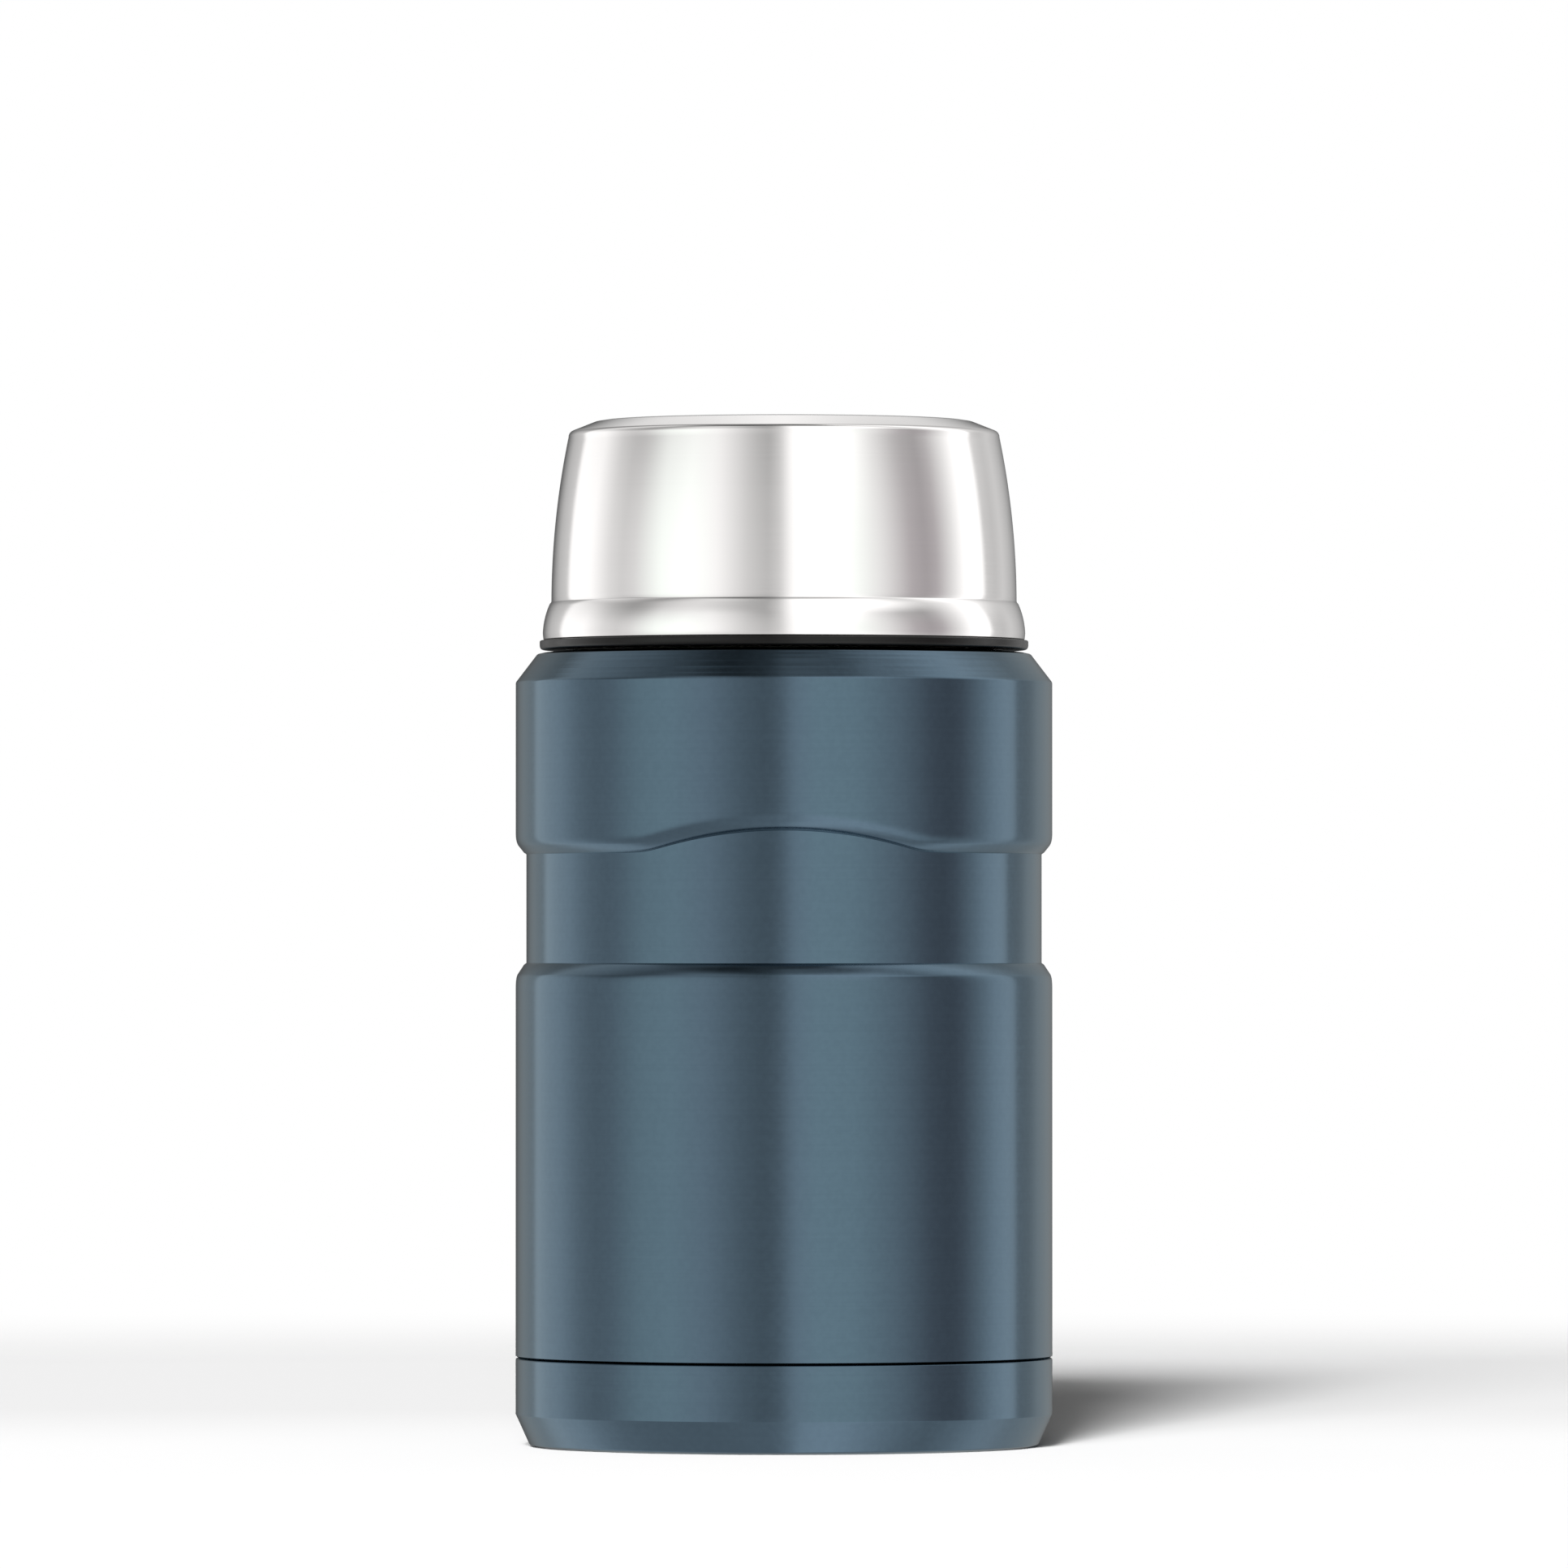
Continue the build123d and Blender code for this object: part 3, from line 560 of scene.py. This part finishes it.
# ---- Inner vessel with its mouth thread, and its welded bottom ----
VESSEL_R = 45.0
VESSEL_WELD_Z = 26.0
VESSEL_SHOULDER_Z = 130.0
SEAL_WALL_R = 37.4  # outside of the wall that the stopper's gasket seals against
SEAL_WALL_LOW_Z, SEAL_WALL_HIGH_Z = 138.0, 146.4
MOUTH_R, MOUTH_LOW_Z = 38.4, 147.6
MOUTH_TOP_Z = NECK_TOP_Z - SHEET
MOUTH_RIDGE_Z = 151.0
vessel_line = bend(
    [(VESSEL_R, VESSEL_WELD_Z), (VESSEL_R, VESSEL_SHOULDER_Z, 1.5), (SEAL_WALL_R, SEAL_WALL_LOW_Z, 1.0),
     (SEAL_WALL_R, SEAL_WALL_HIGH_Z), (MOUTH_R, MOUTH_LOW_Z), (MOUTH_R, MOUTH_TOP_Z, 0.3),
     (NECK_R, MOUTH_TOP_Z)], 0.5
)
mouth_thread = thread(MOUTH_R - SHEET, INWARDS, MOUTH_RIDGE_Z, 0, LONG_ARC)
piece("vessel", [turned(wall(vessel_line))] + mouth_thread, vessel_steel, "jar", "inner_vessel")

VESSEL_BOTTOM_R, VESSEL_BOTTOM_Z = 39.0, 15.5
VESSEL_CORNER_Z = 21.0
VESSEL_CORNER_BEND = 3.0
bottom_line = bend(
    [(0, VESSEL_BOTTOM_Z), (VESSEL_BOTTOM_R, VESSEL_BOTTOM_Z), (VESSEL_R, VESSEL_CORNER_Z),
     (VESSEL_R, VESSEL_WELD_Z)], VESSEL_CORNER_BEND, 10
)
piece("vessel_bottom", [turned(wall(bottom_line))], bottom_steel, "jar", "inner_bottom")

# ---- Stopper: hollow plug with its flange, fluted grip, and gasket in the plug's groove ----
PLUG_R = 36.4
PLUG_LOW_Z, PLUG_WALL_Z = 134.0, 137.5
GROOVE_R = 34.0
GROOVE_LOW_Z, GROOVE_HIGH_Z = 140.0, 144.0
FLANGE_R = 39.6
FLANGE_LOW_Z, FLANGE_HIGH_Z = 163.8, 165.8
PLUG_BORE = 34.4
PLUG_WALL = 2.0
GROOVE_BORE = GROOVE_R - PLUG_WALL
PLUG_FLOOR_Z = PLUG_LOW_Z + PLUG_WALL
PLUG_RIDGE_Z = 150.5
plug_outside = [
    (0, PLUG_LOW_Z), (33.0, PLUG_LOW_Z, 1.0), (PLUG_R, PLUG_WALL_Z, 0.8), (PLUG_R, GROOVE_LOW_Z, 0.15),
    (GROOVE_R, GROOVE_LOW_Z, 0.2), (GROOVE_R, GROOVE_HIGH_Z, 0.2), (PLUG_R, GROOVE_HIGH_Z, 0.15),
    (PLUG_R, FLANGE_LOW_Z, 0.5), (FLANGE_R - 0.3, FLANGE_LOW_Z, 0.2), (FLANGE_R, FLANGE_LOW_Z + 0.3, 0.2),
    (FLANGE_R, FLANGE_HIGH_Z, 0.3),
]
plug_inside = [
    (PLUG_BORE, FLANGE_HIGH_Z, 0), (PLUG_BORE, GROOVE_HIGH_Z + 2.4, 0.2), (GROOVE_BORE, GROOVE_HIGH_Z, 0.2),
    (GROOVE_BORE, GROOVE_LOW_Z - 0.6, 0.2), (28.6, PLUG_FLOOR_Z, 0.2), (0, PLUG_FLOOR_Z),
]
plug_thread = thread(PLUG_R, OUTWARDS, PLUG_RIDGE_Z, ENGAGE_ANGLE, SHORT_ARC)
piece("plug", [turned(bend(plug_outside + plug_inside, 0.3, 4))] + plug_thread, plug_plastic, "stopper",
      "stopper_plug")

GRIP_FOOT_R, GRIP_FOOT_Z = 39.3, 167.6
GRIP_R, GRIP_SKIRT_R = 33.0, 31.0
GRIP_Z, GRIP_TOP_Z = 165.9, 181.0
GRIP_WALL_Z = GRIP_Z + 2.0  # points below this are the grip's foot
GRIP_RIM = 1.3  # points further in from the wall than this stay round
GRIP_ROWS_Z = (169.9, 170.6, 172.5, 175.5, 178.0)
GRIP_ROOF = 2.0
GRIP_DISH_Z = 178.5
FLUTES = 24
FLUTE_R, FLUTE_DEPTH = 2.6, 1.2
FLUTE_Z, FLUTE_RUN_OUT = 170.1, 1.2  # lower end, and the height over which it gets its full depth
grip_outside = [
    (GRIP_SKIRT_R, GRIP_Z), (GRIP_FOOT_R, GRIP_Z, 0.15), (GRIP_FOOT_R, GRIP_FOOT_Z, 0.8),
    (GRIP_R, GRIP_FOOT_Z, 0.9), *[(GRIP_R, z, 0) for z in GRIP_ROWS_Z], (GRIP_R, GRIP_TOP_Z, 1.0),
    (27.0, GRIP_TOP_Z, 0.6), (25.0, GRIP_DISH_Z, 0.8), (0, GRIP_DISH_Z),
]
grip_inside = [
    (0, GRIP_DISH_Z - GRIP_ROOF), (25.1, GRIP_DISH_Z - GRIP_ROOF, 0.3), (27.1, GRIP_TOP_Z - GRIP_ROOF, 0.3),
    (GRIP_SKIRT_R, GRIP_TOP_Z - GRIP_ROOF, 0.3),
]
grip_line = bend(grip_outside + grip_inside, 0.3, 4)


def grip_section(angle):
    """Outline of the grip at one angle, pressed in where it crosses a flute."""
    pitch = 2 * math.pi / FLUTES
    off = (angle + pitch / 2) % pitch - pitch / 2
    centre = GRIP_R - FLUTE_DEPTH + FLUTE_R
    reach = FLUTE_R ** 2 - (centre * math.sin(off)) ** 2
    hollow_r = centre * math.cos(off) - math.sqrt(reach) if reach > 0 else GRIP_R
    section = []
    for r, z in grip_line:
        start = max(0.0, min(1.0, (z - FLUTE_Z) / FLUTE_RUN_OUT))
        depth = max(0.0, GRIP_R - hollow_r) * math.sin(start * math.pi / 2)
        on_wall = r > GRIP_R - GRIP_RIM and z > GRIP_WALL_Z
        section.append((min(r, GRIP_R - depth) if on_wall else r, z))
    return section


piece("grip", [turned(grip_section, GRIP_SEGMENTS)], grip_plastic, "stopper", "stopper_grip")

GASKET_IN_R, GASKET_VALLEY_R, GASKET_LIP_R = 34.3, 36.0, 36.5
gasket_line = bend(
    [(GASKET_IN_R, 140.3), (GASKET_VALLEY_R, 140.3), (GASKET_LIP_R, 140.8), (GASKET_LIP_R, 141.3),
     (GASKET_VALLEY_R, 142.0), (GASKET_LIP_R, 142.7), (GASKET_LIP_R, 143.2), (GASKET_VALLEY_R, 143.7),
     (GASKET_IN_R, 143.7)], 0.35, 5
)
piece("gasket", [turned(gasket_line)], gasket_silicone, "stopper_seal", "stopper_gasket")

# ---- Lid: ring seal, threaded collar and the two walls of the bowl ----
SEAL_LOW_Z, SEAL_HIGH_Z = 159.5, 160.9
SEAL_IN_R, SEAL_MID_R, SEAL_OUT_R = 40.0, 41.0, 42.2
seal_line = bend(
    [(SEAL_MID_R, SEAL_LOW_Z), (SEAL_OUT_R, SEAL_LOW_Z), (SEAL_OUT_R, SEAL_HIGH_Z), (SEAL_IN_R, SEAL_HIGH_Z),
     (SEAL_IN_R, SEAL_LOW_Z), (SEAL_MID_R, SEAL_LOW_Z)], 0.3, 5
)[:-1]
piece("lid_ring", [turned(seal_line)], ring_silicone, "lid_seal", "ring_seal")

COLLAR_BORE = 41.1
COLLAR_RIM_R = 46.0
COLLAR_LOW_Z, COLLAR_STEP_Z = 149.8, 151.6
COLLAR_SEAM_Z = 152.0  # where its closed outline begins and ends
COLLAR_TOP_R, COLLAR_TOP_Z = 42.3, 159.2
COLLAR_RIDGE_Z = 151.4
collar_line = bend(
    [(COLLAR_BORE, COLLAR_SEAM_Z), (COLLAR_BORE, COLLAR_LOW_Z, 0.25), (COLLAR_RIM_R, COLLAR_LOW_Z, 0.95),
     (COLLAR_RIM_R, COLLAR_STEP_Z, 0.35), (43.98, COLLAR_STEP_Z, 0.1), (43.5, 155.9, 0.3),
     (COLLAR_TOP_R, COLLAR_TOP_Z - 0.3, 0.2), (COLLAR_TOP_R, COLLAR_TOP_Z, 0.1),
     (COLLAR_BORE, COLLAR_TOP_Z, 0.2), (COLLAR_BORE, COLLAR_SEAM_Z)], 0.2, 5
)[:-1]
collar_thread = thread(COLLAR_BORE, INWARDS, COLLAR_RIDGE_Z, ENGAGE_ANGLE, SHORT_ARC)
piece("collar", [turned(collar_line)] + collar_thread, collar_plastic, "lid", "lid_collar")

RIM_Z = 151.9
SKIRT_LOW, SKIRT_HIGH = (45.42, RIM_Z + 1.0), (44.16, 158.4)
STEP_R, STEP_Z = 43.8, 158.8
LID_WALL_LOW, LID_WALL_HIGH = (STEP_R, STEP_Z + 0.15), (40.58, 189.85)
LIP_END = (39.75, 191.1)
lid_line = chain(
    bend([(45.0, RIM_Z - 0.25), (45.3, RIM_Z - 0.15), SKIRT_LOW], 0.3),
    arc(SKIRT_LOW, (44.96, 156.1), SKIRT_HIGH, 10),
    bend([SKIRT_HIGH, (STEP_R + 0.06, STEP_Z - 0.02), LID_WALL_LOW], 0.1),
    arc(LID_WALL_LOW, (42.95, 174.6), LID_WALL_HIGH, 32),
    arc(LID_WALL_HIGH, (40.34, 190.65), LIP_END, 8),
    bend([LIP_END, (35.6, LID_TOP_Z - 0.25), (34.0, LID_TOP_Z)], 1.2, 8),
    [(20.0, LID_TOP_Z), (0, LID_TOP_Z)],
)
piece("lid_shell", [turned(wall(lid_line))], lid_steel, "lid", "bowl_outer")

LINER_WALL_LOW, LINER_WALL_HIGH = (41.42, 163.0), (38.95, 187.0)
LINER_STEP_R = 43.1
LINER_FLOOR_R, LINER_FLOOR_Z = 36.0, 190.4
liner_line = chain(
    bend([(44.78, 152.4), (44.32, 155.9), (LINER_STEP_R, 158.9), (LINER_STEP_R, 161.2), LINER_WALL_LOW], 0.6),
    arc(LINER_WALL_LOW, (40.66, 175.0), LINER_WALL_HIGH, 16),
    arc(LINER_WALL_HIGH, (38.2, 189.2), (LINER_FLOOR_R, LINER_FLOOR_Z), 8),
    [(18.0, LINER_FLOOR_Z), (0, LINER_FLOOR_Z)],
)
piece("lid_liner", [turned(wall(liner_line))], bowl_steel, "lid", "bowl_inner")

# ---- Hidden pieces keep their CAD shapes ----
HIDDEN = {
    "foil_sleeve": foil,
    "foil_disc": foil_under,
    "vacuum_closure": closure_steel,
    "port_seal": seal_metal,
    "getter_pellet": getter,
    "getter_clip": clip_steel,
    "stopper_foam": foam,
}
for name, material in HIDDEN.items():
    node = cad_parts[name]
    if not node.material_slots:
        node.data.materials.append(None)
    for slot in node.material_slots:
        slot.link = "OBJECT"
        slot.material = material

# ---- Studio: brightness round the jar, by degrees from the camera's side, + to the right ----
WHITE = (1.0, 1.0, 1.0)
COOL = (0.965, 1.02, 0.985)
DEEP = (1.05, 0.985, 1.02)
LOW = (
    (-180, 0.08), (-166, 0.16), (-150, 0.48), (-137, 0.60), (-133, 1.12), (-112, 1.08), (-97, 0.74),
    (-88, 0.64), (-80, 0.70), (-64, 1.05, COOL), (-50, 1.15, COOL), (-34, 1.00), (-18, 0.64), (-8, 0.50),
    (-2, 0.62), (5, 1.12), (14, 1.22, COOL), (30, 1.16, COOL), (50, 0.80), (66, 0.42, DEEP),
    (75, 0.35, DEEP), (82, 0.41, DEEP), (93, 0.78), (102, 1.14), (111, 1.28), (117, 1.15), (120, 0.60),
    (130, 0.54), (140, 0.62), (153, 0.48), (180, 0.08),
)
MIDDLE = (
    (-180, 0.97), (-170, 0.78), (-161, 0.22), (-141, 0.34), (-131, 0.78), (-120, 0.68), (-103, 0.44),
    (-96, 0.36), (-84, 0.28), (-76, 0.38), (-66, 0.70), (-50, 0.88), (-38, 0.91), (-26, 0.69), (-14, 0.44),
    (-8, 0.37), (-2, 0.60), (4, 1.10), (14, 1.25), (36, 1.24), (48, 0.80), (61, 0.47), (75, 0.36),
    (84, 0.57), (90, 0.76), (103, 1.15), (115, 1.28), (123, 1.00), (140, 0.52), (160, 0.45), (170, 0.74),
    (180, 0.97),
)
HIGH = (
    (-180, 0.97), (-170, 0.78), (-161, 0.22), (-141, 0.34), (-131, 0.78), (-120, 0.70), (-109, 0.56),
    (-98, 0.43), (-87, 0.33), (-77, 0.42), (-67, 0.60), (-57, 0.72), (-48, 0.75), (-39, 0.69), (-30, 0.58),
    (-20, 0.45), (-10, 0.38), (-3, 0.57), (5, 1.15), (15, 1.28), (45, 1.24), (54, 1.20), (63, 1.06),
    (72, 0.86), (82, 0.72), (92, 0.86), (103, 1.15), (115, 1.28), (123, 1.00), (140, 0.52), (160, 0.45),
    (180, 0.97),
)
OVERHEAD = (
    (-180, 0.18), (-124, 0.14), (-112, 0.19), (-100, 0.31), (-90, 0.22), (-79, 0.13), (-68, 0.08),
    (-51, 0.08), (-20, 0.15), (-10, 0.22), (-2, 0.36), (8, 0.45), (60, 0.35), (76, 0.61), (90, 0.84),
    (103, 1.12), (117, 1.04), (130, 0.74), (180, 0.18),
)
ZENITH = ((-180, 0.15), (180, 0.15))
UNDER = (
    (-180, 0.40), (-160, 0.44), (-142, 0.66), (-127, 1.14), (-112, 1.12), (-99, 0.85), (-88, 0.70),
    (-76, 0.64), (-42, 0.60), (-5, 0.66), (3, 0.90), (10, 1.32), (30, 1.37), (50, 1.04), (64, 0.79),
    (78, 0.60), (92, 0.76), (108, 1.04), (116, 1.00), (126, 0.78), (138, 0.66), (155, 0.45), (180, 0.45),
)
# Each layer takes over from the one before it between two heights of a direction, 1 being straight up.
LAYERS = (
    (MIDDLE, 0.10, 0.60), (HIGH, 0.40, 0.62), (OVERHEAD, 0.84, 0.95), (ZENITH, 0.970, 0.990),
    (UNDER, -0.06, -0.45),
)
LEVEL_SCALE = 1.3  # strength of the world, of which its colours are shares
AMBIENT = 0.40  # what matt surfaces get from all sides


def grey(level):
    """World colour that gives one level all over."""
    return (*even(level / LEVEL_SCALE), 1)


def ramp(tree, around, levels):
    """Brightness round the jar, from its (degrees, level) or (degrees, level, tint) stops."""
    node = tree.add("ShaderNodeValToRGB")
    tree.link(around, node.inputs[0])
    elements = node.color_ramp.elements
    while len(elements) < len(levels):
        elements.new(0.5)
    for element, (azimuth, level, *tint) in zip(elements, levels):
        element.position = azimuth / 360 + 0.5
        element.color = (*[level * part / LEVEL_SCALE for part in (tint[0] if tint else WHITE)], 1)
    return node.outputs["Color"]


def build_world():
    """White for the camera, even for matt surfaces, light and dark panels for shiny ones."""
    world = bpy.data.worlds.new("studio")
    bpy.context.scene.world = world
    world.use_nodes = True
    world.cycles.sampling_method = "NONE"
    tree = Tree(world.node_tree)
    split = tree.add("ShaderNodeSeparateXYZ")
    tree.link(tree.add("ShaderNodeTexCoord").outputs["Generated"], split.inputs[0])
    x, y, z = split.outputs
    azimuth = tree.compute("ARCTAN2", x, tree.compute("MULTIPLY", y, -1.0))
    around = tree.compute("ADD", tree.compute("DIVIDE", azimuth, 2 * math.pi), 0.5)
    panels = ramp(tree, around, LOW)
    for levels, start, end in LAYERS:
        panels = tree.mix(tree.spread(z, start, end), panels, ramp(tree, around, levels))
    rays = tree.add("ShaderNodeLightPath").outputs
    lit = tree.mix(rays["Is Diffuse Ray"], panels, grey(AMBIENT))
    seen = tree.mix(rays["Is Camera Ray"], lit, grey(1.0))
    background = tree.add("ShaderNodeBackground")
    background.inputs["Strength"].default_value = LEVEL_SCALE
    tree.link(seen, background.inputs["Color"])
    tree.link(background.outputs[0], tree.add("ShaderNodeOutputWorld").inputs["Surface"])


FLOOR_R = 1100.0
FLOOR_SIDES = 96
# The floor's back tone is painted shade: it stands for light falling off behind the jar.
FLOOR_FRONT, FLOOR_SHADED_BACK = even(0.2285), even(0.2005)
FLOOR_SHADE_TURN = (-0.01, 0.26)  # metres behind the axis between which the floor turns darker
FLOOR_GRAIN = 0.15
FLOOR_SPOTS = 6.0  # per metre
FLOOR_FADE = (0.55, 1.0)  # metres from the axis between which it turns to the background's white


def floor_material():
    """Pale and a little darker at the back by painted shade, white at its edge, and clear from below."""
    material = bpy.data.materials.new("floor_white")
    material.use_nodes = True
    n = Tree(material.node_tree)
    coordinates, (_, y, _) = n.place()
    uneven = n.compute("MULTIPLY", n.noise(FLOOR_SPOTS), FLOOR_GRAIN)
    # Painted shade: the floor's colour goes darker towards the back, with random spots spread over it.
    tone_and_painted_shade = n.mix(n.compute("ADD", n.spread(y, *FLOOR_SHADE_TURN), uneven), (*FLOOR_FRONT, 1), (*FLOOR_SHADED_BACK, 1))
    pale = n.add("ShaderNodeBsdfDiffuse")
    n.link(tone_and_painted_shade, pale.inputs["Color"])
    white = n.add("ShaderNodeEmission")
    white.inputs["Color"].default_value = (*WHITE, 1)
    white.inputs["Strength"].default_value = 1.0
    length = n.add("ShaderNodeVectorMath", operation="LENGTH")
    n.link(coordinates, length.inputs[0])
    edge = n.spread(length.outputs["Value"], *FLOOR_FADE)
    faded = n.mix_shaders(edge, pale.outputs[0], white.outputs[0])
    backface = n.add("ShaderNodeNewGeometry").outputs["Backfacing"]
    one_sided = n.mix_shaders(backface, faded, n.add("ShaderNodeBsdfTransparent").outputs[0])
    n.link(one_sided, n.add("ShaderNodeOutputMaterial").inputs["Surface"])
    return material


def build_floor():
    """Round floor that keeps the shadow, and that reflections don't see."""
    angles = [2 * math.pi * i / FLOOR_SIDES for i in range(FLOOR_SIDES)]
    edge = [(FLOOR_R * MM * math.cos(angle), FLOOR_R * MM * math.sin(angle), 0.0) for angle in angles]
    faces = [(0, i, i % FLOOR_SIDES + 1) for i in range(1, FLOOR_SIDES + 1)]
    mesh = bpy.data.meshes.new("floor")
    mesh.from_pydata([(0.0, 0.0, 0.0)] + edge, [], faces)
    mesh.materials.append(floor_material())
    floor = bpy.data.objects.new("floor", mesh)
    bpy.context.scene.collection.objects.link(floor)
    floor.visible_glossy = False
    return floor


LAMP_DISTANCE = 3.0  # metres


def aim(lamp, azimuth, elevation):
    """Hangs a lamp in a direction from the jar and points it back, out of reflections and of the picture."""
    bpy.context.scene.collection.objects.link(lamp)
    turn, lift = math.radians(azimuth), math.radians(elevation)
    away, up = LAMP_DISTANCE * math.cos(lift), LAMP_DISTANCE * math.sin(lift)
    lamp.location = (away * math.sin(turn), -away * math.cos(turn), up)
    lamp.rotation_euler = (math.pi / 2 - lift, 0, turn)
    lamp.visible_glossy = False
    lamp.visible_camera = False


def add_key(azimuth, elevation, size, level):
    """Square lamp that lights the jar; a white face square to it at level 1 is just white."""
    data = bpy.data.lights.new("key", "AREA")
    data.shape = "SQUARE"
    data.size = size
    data.energy = level * (math.pi * LAMP_DISTANCE) ** 2
    aim(bpy.data.objects.new("key", data), azimuth, elevation)


def add_floor_sun(name, azimuth, elevation, spread, level, receivers):
    """Even light for the floor alone, which throws the shadow; level is what it adds to a white floor."""
    data = bpy.data.lights.new(name, "SUN")
    data.angle = math.radians(spread)
    data.energy = level * math.pi / math.sin(math.radians(elevation))
    lamp = bpy.data.objects.new(name, data)
    aim(lamp, azimuth, elevation)
    lamp.light_linking.receiver_collection = receivers


build_world()
only_floor = bpy.data.collections.new("only_floor")
only_floor.objects.link(build_floor())
add_key(azimuth=-16, elevation=24, size=0.5, level=0.45)
add_floor_sun("floor_sun", azimuth=-7.8, elevation=23.9, spread=10, level=2.58, receivers=only_floor)
add_floor_sun("floor_low_sun", azimuth=-9.5, elevation=10.6, spread=24, level=1.25, receivers=only_floor)

# ---- Camera, in metres: level with the body and tilted up a little ----
IMAGE = 1932  # pixels across the picture
PIXEL = 0.0001528  # size of one at the jar
SENSOR = 36.0
CAMERA_DISTANCE = 2.7
CAMERA_Z = 0.095
CENTRE_Z = 0.1246
camera_data = bpy.data.cameras.new("camera")
camera_data.sensor_width = SENSOR
camera_data.lens = SENSOR * CAMERA_DISTANCE / (PIXEL * IMAGE)
camera = bpy.data.objects.new("camera", camera_data)
bpy.context.scene.collection.objects.link(camera)
camera.location = (0, -CAMERA_DISTANCE, CAMERA_Z)
camera.rotation_euler = (math.pi / 2 + math.atan2(CENTRE_Z - CAMERA_Z, CAMERA_DISTANCE), 0, 0)
bpy.context.scene.camera = camera
bpy.context.scene.view_settings.view_transform = "Standard"
